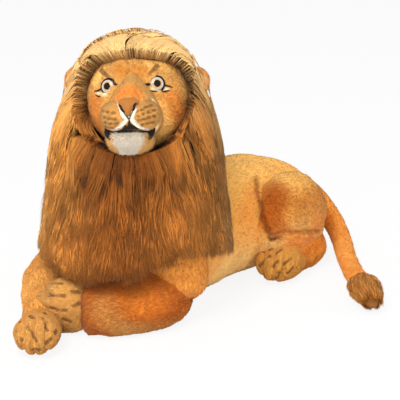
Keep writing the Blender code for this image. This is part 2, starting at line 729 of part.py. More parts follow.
def mane_panel(name, first, last, top_share):
    """A curved fur panel between two bearings, from the hem to a share of the mane's height."""
    count = max(2, round((last - first) / PANEL_STEP))
    loops = []
    for k in range(count + 1):
        bearing = first + (last - first) * k / count
        hem_share = along(MANE_HEM_SHARES, bearing / (2 * math.pi) % 1)
        backwards = max(0.0, math.cos(HEAD_TURN - math.pi / 2 + bearing))
        fullness = 1 - MANE_BACK_FLAT_SHARE * backwards ** 6
        outer, inner = [], []
        for row in range(PANEL_ROWS + 1):
            t = row / PANEL_ROWS
            share = hem_share + (top_share - hem_share) * t
            radius = MANE_RADIUS * along(MANE_RADIUS_SHARES, share) * fullness
            thickness = MANE_THICKNESS * (1 - HEM_THINNING_SHARE * (1 - t) ** 4)
            height = MANE_BASE + MANE_HEIGHT * share
            trim = math.copysign(MANE_SPLIT / 2 / radius, count - 2 * k) * (k in (0, count))
            outer.append(mane_point(bearing + trim, radius, height))
            inner.append(mane_point(bearing + trim, radius - thickness, height))
        loops.append(outer + inner[::-1])
    caps = [sum(loop, Vector()) / len(loop) for loop in (loops[0], loops[-1])]
    return add_piece(name, [[caps[0]], *loops, [caps[1]]], LONG_FUR)


mane = {
    "bib": mane_panel("mane_bib", -BIB_EDGE, BIB_EDGE, BIB_TOP_SHARE),
    "left": mane_panel("mane_left", BIB_EDGE, NAPE_EDGE, 1.0),
    "right": mane_panel("mane_right", -NAPE_EDGE, -BIB_EDGE, 1.0),
    "nape": mane_panel("mane_nape", NAPE_EDGE, 2 * math.pi - NAPE_EDGE, 1.0),
}
crown_base = MANE_BASE + MANE_HEIGHT + MANE_SPLIT
crown_radius = MANE_RADIUS * MANE_RADIUS_SHARES[-1]
crown_rings = 7
mane["crown"] = turned(
    "mane_crown",
    [(0, crown_base)] + [
        (
            crown_radius * math.cos(math.pi / 2 * k / crown_rings),
            crown_base + CROWN_HEIGHT * math.sin(math.pi / 2 * k / crown_rings),
        )
        for k in range(crown_rings)
    ] + [(0, crown_base + CROWN_HEIGHT)],
    LONG_FUR, 32, None, UP, MANE_AXIS + MANE_LEAN,
)

# Tail: a long thin stuffed tube, which swings round its root on the rump and lies on the floor
TAIL_LENGTH = 0.30
TAIL_RADIUS = 0.0190
TAIL_SOCKET_PLAY = 0.0045
TAIL_ROOT = on_torso(0.482, 0, 0.52)
TAIL_PLAN_SHARES = (
    (-0.030, 0.045), (0, 0), (0.070, -0.09), (0.096, -0.22), (0.028, -0.36), (-0.165, -0.55), (-0.385, -0.78)
)
TAIL_RISE_SHARES = (1.0, 1.0, 0.94, 0.5, 0.15, 0, 0)
TAIL_RADIUS_SHARES = (0.88, 0.90, 0.95, 0.95, 0.90, 0.84, 0.80)
TUFT_LENGTH = 0.105
TUFT_HALF_WIDTH = 0.029
TUFT_HALF_HEIGHT = 0.022
TUFT_PLAN_SHARES = ((0.10, 0.11), (-0.17, -0.18), (-0.44, -0.46), (-0.70, -0.75))
TUFT_HALF_SHARES = (0.60, 1.0, 1.0, 0.72)

tail_radii = scaled(TAIL_RADIUS_SHARES, TAIL_RADIUS)
tail_path = laid(TAIL_ROOT, TAIL_LENGTH, TAIL_PLAN_SHARES, tail_radii)
for point, rise in zip(tail_path, TAIL_RISE_SHARES):
    point.z += rise * (TAIL_ROOT.z - point.z)
tail = stuffed(
    "tail", tail_path, tail_radii, tail_radii, GOLD_PLUSH, rounds=(0.14, 0.06), ring_count=20, sides=12,
)
set_origin(tail, TAIL_ROOT)
tail_root_ball = lumpy_ball(
    "tail_socket", TAIL_ROOT, [TAIL_RADIUS + TAIL_SOCKET_PLAY] * 3, GOLD_PLUSH
)
hide(tail_root_ball)
tuft_heights = scaled(TUFT_HALF_SHARES, TUFT_HALF_HEIGHT)
tail_tuft = stuffed(
    "tail_tuft", laid(tail_path[-1], TUFT_LENGTH, TUFT_PLAN_SHARES, tuft_heights),
    scaled(TUFT_HALF_SHARES, TUFT_HALF_WIDTH), tuft_heights, LONG_FUR,
    rounds=(0.3, 0.4),
)
set_origin(tail_tuft, TAIL_ROOT)

# Seams: each piece is cut by the larger ones it is sewn to
subtract(torso, tail_root_ball)
sewn_to(torso, tail)
sewn_to(neck, torso, head)
for side in (-1, 1):
    sewn_to(haunches[side], torso)
    sewn_to(hind_legs[side], torso, haunches[side])
    sewn_to(hind_paws[side], torso, haunches[side], hind_legs[side])
    sewn_to(upper_arms[side], torso, neck)
    sewn_to(forearms[side], torso, upper_arms[side])
sewn_to(front_paws[1], forearms[1])
sewn_to(front_paws[-1], forearms[-1], forearms[1], front_paws[1])
sewn_to(muzzle, head)
sewn_to(pads[1], head, muzzle)
sewn_to(pads[-1], head, muzzle, pads[1])
sewn_to(chin_tuft, head, muzzle, *pads.values())
sewn_to(mouth_lining, head, muzzle, chin_tuft, *pads.values())
sewn_to(nose, muzzle, *pads.values())
for panel in mane.values():
    subtract(panel, face_opening)
    for groove in ear_grooves:
        subtract(panel, groove)
    sewn_to(panel, head, neck, torso, chin_tuft, muzzle, *upper_arms.values(), *forearms.values())
sewn_to(mane["bib"], *front_paws.values())
sewn_to(tail_tuft, tail)

# Floor: what lies on it is cut flat there
floor_reach = TORSO_LENGTH * 2
under_floor = box(
    "under_floor",
    Vector((-floor_reach, -floor_reach, -FLOOR_OVERRUN)),
    Vector((floor_reach, floor_reach, 0)),
)
for piece in (
    torso, tail, tail_tuft, *hind_legs.values(), *hind_paws.values(), *upper_arms.values(),
    *forearms.values(), *front_paws.values(),
):
    subtract(piece, under_floor)
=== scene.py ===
"""The looks of a large stuffed toy lion that lies on its belly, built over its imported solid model.

Everything is in metres, in the frame of the solids: the head end points along -X, the toy's left flank
along -Y, and the floor is z = 0. Each sewn piece is worked out again as a fine surface from the same
shares and sizes as its solid, gets the soft lumps of its filling, is cut by the larger pieces that it is
sewn to, and is then planted with pile or long fur.
"""

import math

import bpy
import numpy as np
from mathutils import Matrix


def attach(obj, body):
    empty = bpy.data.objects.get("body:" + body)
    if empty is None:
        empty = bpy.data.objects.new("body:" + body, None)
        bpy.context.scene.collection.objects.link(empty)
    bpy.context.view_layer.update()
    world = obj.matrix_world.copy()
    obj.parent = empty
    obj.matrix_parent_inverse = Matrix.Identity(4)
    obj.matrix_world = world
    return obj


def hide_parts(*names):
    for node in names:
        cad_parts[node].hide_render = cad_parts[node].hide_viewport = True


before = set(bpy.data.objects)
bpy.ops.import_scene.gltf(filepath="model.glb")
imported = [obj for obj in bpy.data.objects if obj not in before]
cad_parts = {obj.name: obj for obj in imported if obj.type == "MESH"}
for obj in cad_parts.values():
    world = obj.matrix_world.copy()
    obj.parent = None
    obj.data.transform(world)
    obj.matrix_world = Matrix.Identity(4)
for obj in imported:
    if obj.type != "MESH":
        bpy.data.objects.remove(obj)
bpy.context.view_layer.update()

# Camera, light and floor: a white studio sweep under one large soft lamp, with two weaker ones lower down.
# The camera looks down a little at the toy's left flank, and its face looks back.
VIEW_TURN = math.radians(-49)
VIEW_RISE = math.radians(18)
CAMERA_PLACE = (-1.6467, -1.4213, 0.8427)
CAMERA_LENS, CAMERA_SENSOR = 123.75, 36
SKY_ON_TOY, SKY_SEEN = 0.68, 1.0
FLOOR_HALF_SIDE = 5.0
FLOOR_WHITE, PAPER_GREY = 0.88, 0.86

back = np.array((
    math.sin(VIEW_TURN) * math.cos(VIEW_RISE),
    -math.cos(VIEW_TURN) * math.cos(VIEW_RISE),
    math.sin(VIEW_RISE),
))
right = np.array((math.cos(VIEW_TURN), math.sin(VIEW_TURN), 0))
above = np.cross(back, right)
camera = bpy.data.objects.new("camera", bpy.data.cameras.new("camera"))
camera.data.lens = CAMERA_LENS
camera.data.sensor_width = CAMERA_SENSOR
bpy.context.scene.collection.objects.link(camera)
camera_turn = np.eye(4)
camera_turn[:3, 0] = right
camera_turn[:3, 1] = above
camera_turn[:3, 2] = back
camera_turn[:3, 3] = CAMERA_PLACE
camera.matrix_world = camera_turn.T.tolist()
bpy.context.scene.camera = camera
bpy.context.scene.view_settings.view_transform = "Standard"


def add_lamp(name, place, size, power):
    """A square soft lamp that looks at the toy's middle."""
    lamp = bpy.data.objects.new(name, bpy.data.lights.new(name, "AREA"))
    lamp.data.size = size
    lamp.data.energy = power
    bpy.context.scene.collection.objects.link(lamp)
    outwards = np.array(place) / np.linalg.norm(place)
    across = np.cross((0, 0, 1), outwards)
    across /= np.linalg.norm(across)
    turn = np.eye(4)
    turn[:3, 0] = across
    turn[:3, 1] = np.cross(outwards, across)
    turn[:3, 2] = outwards
    turn[:3, 3] = place
    lamp.matrix_world = turn.T.tolist()


add_lamp("key_lamp", (-1.8, -0.7, 2.2), 1.1, 50)
add_lamp("fill_lamp", (1.3, -1.9, 0.7), 1.8, 12)
add_lamp("front_lamp", (-2.4, -1.2, 0.45), 1.6, 24)
sky = bpy.data.worlds.new("sweep")
sky.use_nodes = True
bpy.context.scene.world = sky
sky_nodes, sky_links = sky.node_tree.nodes, sky.node_tree.links
sky_seen = sky_nodes.new("ShaderNodeLightPath")
sky_level = sky_nodes.new("ShaderNodeMapRange")
sky_level.inputs["To Min"].default_value = SKY_ON_TOY
sky_level.inputs["To Max"].default_value = SKY_SEEN
sky_nodes["Background"].inputs["Color"].default_value = (1, 1, 1, 1)
sky_links.new(sky_seen.outputs["Is Camera Ray"], sky_level.inputs["Value"])
sky_links.new(sky_level.outputs["Result"], sky_nodes["Background"].inputs["Strength"])

floor_mesh = bpy.data.meshes.new("floor")
floor_mesh.from_pydata(
    [(x * FLOOR_HALF_SIDE, y * FLOOR_HALF_SIDE, 0) for x, y in ((-1, -1), (1, -1), (1, 1), (-1, 1))],
    [], [(0, 1, 2, 3)],
)
floor = bpy.data.objects.new("floor", floor_mesh)
bpy.context.scene.collection.objects.link(floor)
floor_paper = bpy.data.materials.new("sweep paper")
floor_paper.use_nodes = True
paper_nodes, paper_links = floor_paper.node_tree.nodes, floor_paper.node_tree.links
paper_nodes["Principled BSDF"].inputs["Base Color"].default_value = (PAPER_GREY, PAPER_GREY, PAPER_GREY, 1)
paper_nodes["Principled BSDF"].inputs["Roughness"].default_value = 0.9
paper_seen = paper_nodes.new("ShaderNodeLightPath")
paper_any = paper_nodes.new("ShaderNodeMath")
paper_any.operation = "MAXIMUM"
paper_share = paper_nodes.new("ShaderNodeMath")
paper_share.operation = "MULTIPLY"
paper_share.inputs[1].default_value = FLOOR_WHITE
paper_glow = paper_nodes.new("ShaderNodeEmission")
paper_mix = paper_nodes.new("ShaderNodeMixShader")
paper_links.new(paper_seen.outputs["Is Camera Ray"], paper_any.inputs[0])
paper_links.new(paper_seen.outputs["Is Glossy Ray"], paper_any.inputs[1])
paper_links.new(paper_any.outputs[0], paper_share.inputs[0])
paper_links.new(paper_share.outputs[0], paper_mix.inputs["Fac"])
paper_links.new(paper_nodes["Principled BSDF"].outputs["BSDF"], paper_mix.inputs[1])
paper_links.new(paper_glow.outputs["Emission"], paper_mix.inputs[2])
paper_links.new(paper_mix.outputs["Shader"], paper_nodes["Material Output"].inputs["Surface"])
floor_mesh.materials.append(floor_paper)

# Torso: the long stuffed barrel from the chest to the rump, sewn from gold plush with a short soft pile
# and packed with loose polyester fibre. Its pile lies backwards. A painted highlight pales the back, and
# painted shade darkens it along the creases at the haunches.
TORSO_LENGTH, TORSO_WIDTH, TORSO_HEIGHT = 0.485, 0.205, 0.195
TORSO_X_SHARES = (-0.50, -0.36, -0.20, -0.03, 0.14, 0.30, 0.40, 0.455)
TORSO_HALF_WIDTH_SHARES = (0.42, 0.49, 0.48, 0.43, 0.44, 0.48, 0.44, 0.34)
TORSO_HALF_HEIGHT_SHARES = (0.43, 0.485, 0.49, 0.485, 0.49, 0.455, 0.385, 0.29)
FLOOR_PRESS = 0.0005
SEAM_GAP = 0.0003
PALE_GOLD = (1.0, 0.56, 0.145)
BRIGHT_GOLD = (0.90, 0.420, 0.085)
GOLD = (0.88, 0.345, 0.058)
ORANGE = (0.76, 0.22, 0.024)
DEEP_ORANGE = (0.50, 0.12, 0.010)
SAND = (0.92, 0.56, 0.185)
FLANK_SAND_HEIGHTS = (0.02, 0.14)
# Painted highlight along the back and the haunch tops: how fast it fades in, and how much it covers.
TOP_HIGHLIGHT_FADE, TOP_HIGHLIGHT_COVER = 0.055, 0.85
# Skins are coloured like the pile at SKIN_REACH of its length, so the painted root shade darkens them a
# little.
SKIN_REACH, SKIN_TONE = 0.85, 0.5
PILE_CLEAR, BELOW_SKIN = 0.0008, 0.006


def curve_through(keys, share):
    """The Catmull-Rom cubic through evenly spaced keys: between two keys it leans on the four nearest."""
    keys = np.asarray(keys, float)
    last = len(keys) - 1
    place = np.clip(share, 0, 1) * last
    i = np.minimum(place.astype(int), last - 1)
    t = place - i
    if keys.ndim > 1:
        t = t[..., None]
    before, here, there, after = (keys[np.clip(i + k, 0, last)] for k in (-1, 0, 1, 2))
    return (
        here
        + (there - before) * (t / 2)
        + (before * 2 - here * 5 + there * 4 - after) * (t * t / 2)
        + (here * 3 - before - there * 3 + after) * (t * t * t / 2)
    )


def unit(vectors):
    """Each vector divided by its length."""
    return vectors / np.maximum(np.linalg.norm(vectors, axis=-1, keepdims=True), 1e-12)


def smooth_step(low, high, value):
    """0 below low, 1 above high, and 3t^2 - 2t^3 between them."""
    t = np.clip((value - low) / (high - low), 0, 1)
    return t * t * (3 - 2 * t)


def on_torso(x, y, z):
    """A point given in shares of the torso's length, width and height."""
    return np.array((x * TORSO_LENGTH, y * TORSO_WIDTH, z * TORSO_HEIGHT))


def laid(start, length, plan_shares, half_heights):
    """A path in plan whose form presses on the floor along its whole length: z is its half height."""
    plan = np.asarray(plan_shares, float) * length + np.asarray(start, float)[:2]
    return np.column_stack([plan, np.asarray(half_heights) - FLOOR_PRESS])


def tube(path, widths, heights, rounds, rings=11, power=2.0, top=(0, 0, 1), egg=0.0, toes=None, pose=None):
    """The measures of a stuffed tube. pose is the 4 x 4 matrix of the frame that its path is given in."""
    return {
        "grid": tube_grid, "level": tube_level, "path": np.asarray(path, float), "rounds": rounds,
        "widths": np.asarray(widths, float), "heights": np.asarray(heights, float), "power": power,
        "step": 1 / (4 * rings), "top": np.asarray(top, float), "egg": egg, "toes": toes, "pose": pose,
    }


def tube_stations(form, share):
    """Centre, forward, side, lift, half width, half height and fullness of a tube at shares of its length.

    The fullness is sqrt(1 - (1 - s / first)^2) near the start and the same near the end.
    """
    centre = curve_through(form["path"], share)
    forward = unit(
        curve_through(form["path"], share + form["step"]) - curve_through(form["path"], share - form["step"])
    )
    side = unit(np.cross(forward, form["top"]))
    first, last = form["rounds"]
    start = np.clip(1 - share / first, 0, 1)
    end = np.clip(1 - (1 - share) / last, 0, 1)
    full = np.sqrt(np.maximum(0, 1 - start ** 2)) * np.sqrt(np.maximum(0, 1 - end ** 2))
    half_width = curve_through(form["widths"], share) * full
    half_height = curve_through(form["heights"], share) * full
    return centre, forward, side, np.cross(side, forward), half_width, half_height, full


def tube_grid(form, rows, columns):
    """Rings at shares (1 - cos) / 2: centre + side * width * u * (1 - egg * v) + lift * height * v.

    (u, v) runs round a superellipse. Toes stand out forward by (1 + cos(4 pi u - pi)) / 2 and have a
    groove pressed in between them.
    """
    share = (1 - np.cos(np.pi * np.arange(rows + 1) / rows)) / 2
    turn = 2 * np.pi * np.arange(columns) / columns
    u = np.sign(np.cos(turn)) * np.abs(np.cos(turn)) ** (2 / form["power"])
    v = np.sign(np.sin(turn)) * np.abs(np.sin(turn)) ** (2 / form["power"])
    centre, forward, side, lift, width, height, full = (
        part[:, None] for part in tube_stations(form, share)
    )
    across = width * u * (1 - form["egg"] * v)
    upward = height * v
    along_tube = np.zeros_like(across)
    if form["toes"]:
        depth, reach, groove = form["toes"]
        fade = np.clip(1 - (1 - share) / reach, 0, None)[:, None]
        along_tube = depth * fade * (1 + np.cos(4 * np.pi * full * u - np.pi)) / 2
        press = sum(np.exp(-((full * u - place) / 0.055) ** 2) for place in (-0.5, 0, 0.5))
        press = press * groove * smooth_step(1 - reach, 1 - reach / 3, share)[:, None]
        size = np.maximum(np.hypot(across, upward), 1e-9)
        shrink = 1 - press / np.maximum(size, 4 * groove)
        across, upward, along_tube = across * shrink, upward * shrink, along_tube - press * 0.5 * full
    grid = centre + side * across[..., None] + lift * upward[..., None] + forward * along_tube[..., None]
    grid[0], grid[-1] = centre[0], centre[-1]
    return placed(grid, form["pose"])


def placed(points, pose, inverse=False):
    """Points taken from a piece's own frame into the toy's, or back."""
    if pose is None:
        return points
    matrix = np.linalg.inv(pose) if inverse else pose
    return points @ matrix[:3, :3].T + matrix[:3, 3]


def nearest_of(points, centres):
    """The number of the nearest centre to each point, worked out in blocks of points."""
    block = 4000
    nearest = np.empty(len(points), int)
    for start in range(0, len(points), block):
        apart = points[start:start + block, None] - centres
        nearest[start:start + block] = np.linalg.norm(apart, axis=2).argmin(axis=1)
    return nearest


def tube_level(form, points):
    """How far points lie outside a tube, and which way out is. Inside, the level is below zero.

    Each point belongs to its nearest station, and the level is its distance from the superellipse there
    along the ray from the centre.
    """
    local = placed(points, form["pose"], inverse=True)
    share = np.linspace(0, 1, 49)
    centre, forward, side, lift, width, height, _ = tube_stations(form, share)
    nearest = nearest_of(local, centre)
    offset = local - centre[nearest]
    u = (offset * side[nearest]).sum(1)
    v = (offset * lift[nearest]).sum(1)
    w = (offset * forward[nearest]).sum(1)
    hh = np.maximum(height[nearest], 1e-6)
    ww = np.maximum(width[nearest], 1e-6) * (1 - form["egg"] * np.clip(v / hh, -1, 1))
    rho = (np.abs(u / ww) ** form["power"] + np.abs(v / hh) ** form["power"]) ** (1 / form["power"])
    reach = np.hypot(u, v)
    level = reach * (1 - 1 / np.maximum(rho, 1e-6))
    level = np.where(level > 0, np.hypot(level, np.maximum(0, np.abs(w) - 0.006)), level)
    out = unit(side[nearest] * u[:, None] + lift[nearest] * v[:, None])
    return level, out if form["pose"] is None else out @ form["pose"][:3, :3].T


def level_of(form, points):
    """How far points lie outside a form of either kind, and which way out is."""
    return form["level"](form, points)


def soft_lumps(points, amount, size, seed):
    """The lumps of a loose filling: the mean of 14 seeded plane waves about one lump size long."""
    draw = np.random.default_rng(seed)
    waves = unit(draw.normal(size=(14, 3))) * (2 * np.pi / (size * draw.uniform(0.7, 1.6, (14, 1))))
    phases = draw.uniform(0, 2 * np.pi, 14)
    return amount * np.sin(points @ waves.T + phases).sum(axis=-1) / 3.5


def grid_normals(grid):
    """Outward normals of a closed grid, from the cross product of its two ways across."""
    down = np.gradient(grid, axis=0)
    around = np.roll(grid, -1, axis=1) - np.roll(grid, 1, axis=1)
    normals = np.cross(around, down)
    normals[0], normals[-1] = normals[1].mean(axis=0), normals[-2].mean(axis=0)
    normals = unit(normals)
    outwards = ((grid - grid.mean(axis=(0, 1))) * normals).sum()
    return normals if outwards > 0 else -normals


def grid_faces(rows, columns):
    """Triangles of a grid whose first and last rows are single points, numbered pole, rings, pole."""
    ring = 1 + np.arange((rows - 1) * columns).reshape(rows - 1, columns)
    after = np.roll(ring, -1, axis=1)
    last = 1 + (rows - 1) * columns
    quads = np.concatenate([
        np.stack([ring[:-1], after[:-1], after[1:]], axis=-1).reshape(-1, 3),
        np.stack([ring[:-1], after[1:], ring[1:]], axis=-1).reshape(-1, 3),
    ])
    caps = np.concatenate([
        np.stack([np.zeros(columns, int), after[0], ring[0]], axis=-1),
        np.stack([np.full(columns, last), ring[-1], after[-1]], axis=-1),
    ])
    return np.concatenate([quads, caps])


def grid_points(grid):
    """A closed grid's points in the order of its faces: pole, rings, pole."""
    return np.concatenate([grid[0, :1], grid[1:-1].reshape(-1, 3), grid[-1, :1]])


def inside_out(points, faces):
    """Whether a closed mesh faces inwards: the sum of a . (b x c) over its triangles is then below zero."""
    corners = points[faces]
    return np.einsum("ij,ij->i", corners[:, 0], np.cross(corners[:, 1], corners[:, 2])).sum() < 0


def add_mesh(name, points, faces):
    """An object at the origin from arrays of points and triangles, with its faces turned outwards."""
    if inside_out(points, faces):
        faces = faces[:, ::-1]
    mesh = bpy.data.meshes.new(name)
    mesh.vertices.add(len(points))
    mesh.vertices.foreach_set("co", points.astype(np.float32).ravel())
    mesh.loops.add(faces.size)
    mesh.loops.foreach_set("vertex_index", faces.astype(np.int32).ravel())
    mesh.polygons.add(len(faces))
    mesh.polygons.foreach_set("loop_start", np.arange(0, faces.size, 3, dtype=np.int32))
    mesh.update(calc_edges=True)
    mesh.shade_smooth()
    piece = bpy.data.objects.new(name, mesh)
    bpy.context.scene.collection.objects.link(piece)
    return piece


def mesh_arrays(mesh):
    """The points and triangles of a mesh."""
    mesh.calc_loop_triangles()
    points = np.empty(len(mesh.vertices) * 3, np.float32)
    mesh.vertices.foreach_get("co", points)
    faces = np.empty(len(mesh.loop_triangles) * 3, np.int32)
    mesh.loop_triangles.foreach_get("vertices", faces)
    return points.reshape(-1, 3).astype(float), faces.reshape(-1, 3)


def skin_grid(form, rows, columns, seed, lumps=0.0012, lump_size=0.045, floor=False, dents=()):
    """A form's grid moved along its normals by the filling's lumps and by dents near some points."""
    grid = form["grid"](form, rows, columns)
    move = soft_lumps(grid, lumps, lump_size, seed) + soft_lumps(grid, lumps / 3, lump_size / 3, seed + 1)
    for start, end, depth, spread in dents:
        move = move - depth * np.exp(-(segment_distance(grid, start, end) / spread) ** 2)
    grid = grid + grid_normals(grid) * move[..., None]
    grid[0], grid[-1] = grid[0].mean(axis=0), grid[-1].mean(axis=0)
    if floor:
        grid[..., 2] = np.maximum(grid[..., 2], 0)
    return grid


def segment_distance(points, start, end):
    """The distance of points from a straight segment."""
    start, end = np.asarray(start, float), np.asarray(end, float)
    line = end - start
    t = np.clip(((points - start) @ line) / max(line @ line, 1e-12), 0, 1)
    return np.linalg.norm(points - start - t[..., None] * line, axis=-1)


CUT_EDGE_ANGLE = math.radians(50)
rooms = {}


def sewn(name, grid, form, larger=()):
    """A skin cut by the slightly grown copies of the larger skins that it is sewn to."""
    points = grid_points(grid)
    out = grid_points(grid_normals(grid))
    faces = grid_faces(grid.shape[0] - 1, grid.shape[1])
    rooms[name] = add_mesh(name + "_room", points + out * SEAM_GAP, faces)
    piece = add_mesh(name, points, faces)
    for other in larger:
        cut = piece.modifiers.new("cut_" + other, "BOOLEAN")
        cut.operation = "DIFFERENCE"
        cut.solver = "MANIFOLD"
        cut.object = rooms[other]
    if larger:
        cut_mesh = piece.evaluated_get(bpy.context.evaluated_depsgraph_get()).to_mesh()
        points, faces = mesh_arrays(cut_mesh)
        bpy.data.objects.remove(piece)
        piece = add_mesh(name, points, faces)
        piece.data.set_sharp_from_angle(angle=CUT_EDGE_ANGLE)
    return {"piece": piece, "points": points, "faces": faces, "form": form, "name": name}


def paint(points, base, dabs=()):
    """A colour at each point, from airbrushed marks and from dabs of painted light and shade.

    Each dab is (start, end, radius, softness, colour, strength): its colour covers what lies within the
    radius of the segment, and fades out over the softness.
    """
    colour = np.broadcast_to(np.asarray(base, float), points.shape[:-1] + (3,)).copy()
    for start, end, radius, softness, tint, strength in dabs:
        cover = 1 - smooth_step(radius, radius + softness, segment_distance(points, start, end))
        colour += (np.asarray(tint) - colour) * (cover * strength)[..., None]
    return colour


def painted(base, dabs=()):
    """A dye: the function that gives each point its colour, airbrushed marks and painted light and shade
    included.
    """
    return lambda points: paint(points, base, dabs)


def along(line, *rest):
    """The same dab or dent along each stretch of a line."""
    return [(start, end, *rest) for start, end in zip(line[:-1], line[1:])]


def set_marks(piece, dye, tone, reach):
    """Stores the dye, with the painted light and shade that some pieces carry in it, the strand's own tone and
    the share of its length on a mesh's points.
    """
    mesh = piece.data
    colours = np.column_stack([dye, np.ones(len(dye))])
    mesh.color_attributes.new("dye", "FLOAT_COLOR", "POINT").data.foreach_set(
        "color", colours.astype(np.float32).ravel()
    )
    for label, values in (("tone", tone), ("reach", reach)):
        mesh.attributes.new(label, "FLOAT", "POINT").data.foreach_set("value", values.astype(np.float32))


def scatter(skin, count, draw, clear=(), floor=True):
    """Random roots spread evenly over a skin, with their normals, off the seams and off the floor."""
    points, faces = skin["points"], skin["faces"]
    corners = points[faces]
    normals = np.cross(corners[:, 1] - corners[:, 0], corners[:, 2] - corners[:, 0])
    area = np.linalg.norm(normals, axis=1)
    if inside_out(points, faces):
        normals = -normals
    smooth = np.zeros_like(points)
    for k in range(3):
        np.add.at(smooth, faces[:, k], normals)
    smooth = unit(smooth)
    chosen = draw.choice(len(faces), count, p=area / area.sum())
    a, b = draw.uniform(size=(2, count))
    a, b = np.where(a + b > 1, 1 - a, a), np.where(a + b > 1, 1 - b, b)
    weight = np.column_stack([1 - a - b, a, b])[..., None]
    roots = (corners[chosen] * weight).sum(axis=1)
    facing = unit((smooth[faces[chosen]] * weight).sum(axis=1) + unit(normals[chosen]))
    keep = np.ones(count, bool)
    for form in clear:
        keep &= level_of(form, roots)[0] > PILE_CLEAR
    if skin["form"] is not None:
        keep &= level_of(skin["form"], roots)[0] > -BELOW_SKIN
    if floor:
        keep &= (roots[:, 2] > 0.0015) | (facing[:, 2] > -0.5)
    return roots[keep], facing[keep]


def blades(roots, directions, length, width, draw):
    """Closed pile blades: a small triangle at the root, and a tip at root + direction * length."""
    count = len(roots)
    across = unit(np.cross(directions, unit(draw.normal(size=(count, 3)))))
    other = np.cross(directions, across)
    turns = 2 * np.pi * np.arange(3) / 3
    ring = roots[:, None] + (
        across[:, None] * np.cos(turns)[None, :, None] + other[:, None] * np.sin(turns)[None, :, None]
    ) * (np.asarray(width).reshape(-1, 1, 1) / 2)
    tips = roots + directions * np.asarray(length).reshape(-1, 1)
    points = np.concatenate([ring, tips[:, None]], axis=1).reshape(-1, 3)
    faces = np.array([(0, 2, 1), (0, 1, 3), (1, 2, 3), (2, 0, 3)])
    faces = (faces[None] + 4 * np.arange(count)[:, None, None]).reshape(-1, 3)
    return points, faces


def pile_on(skin, count, length, width, flow, dye, seed, clear=(), lean=1.22, floor=True):
    """Plants short pile on a skin, leaning by an angle from the normal towards its flow."""
    draw = np.random.default_rng(seed)
    roots, facing = scatter(skin, count, draw, clear, floor=floor)
    way = flow(roots) if callable(flow) else np.broadcast_to(np.asarray(flow, float), roots.shape)
    way = unit(way - facing * (way * facing).sum(axis=1, keepdims=True))
    ruffle = soft_lumps(roots, 0.12, 0.06, seed + 5)[:, None]
    way = unit(way + np.cross(facing, way) * (ruffle + draw.normal(0, 0.10, (len(roots), 1))))
    angle = np.clip(lean + draw.normal(0, 0.06, len(roots)), 0.2, 1.42)[:, None]
    direction = facing * np.cos(angle) + way * np.sin(angle)
    lengths = length * draw.uniform(0.7, 1.15, len(roots))
    tips = roots + direction * lengths[:, None]
    if floor:
        low = tips[:, 2] < 0.0004
        direction[low, 2] = np.maximum(direction[low, 2], (0.0004 - roots[low, 2]) / lengths[low])
    points, faces = blades(roots - facing * 0.0005, direction, lengths, width, draw)
    if floor:
        points[:, 2] = np.maximum(points[:, 2], 0.0002)
    tone = np.clip(draw.normal(0.5, 0.22, len(roots)) + soft_lumps(roots, 0.05, 0.03, seed + 9), 0, 1)
    piece = add_mesh(skin["name"] + "_pile", points, faces)
    set_marks(
        piece,
        np.repeat(dye(roots), 4, axis=0),
        np.repeat(tone, 4),
        np.tile([0.0, 0.0, 0.0, 1.0], len(roots)),
    )
    return piece


def link_value(tree, operation, first, second, third=None):
    """A Math node of two or three inputs, each of them a number or an output."""
    node = tree.nodes.new("ShaderNodeMath")
    node.operation = operation
    for socket, value in zip(node.inputs, (first, second, third)):
        if value is None:
            continue
        if isinstance(value, (int, float)):
            socket.default_value = value
        else:
            tree.links.new(value, socket)
    return node.outputs[0]


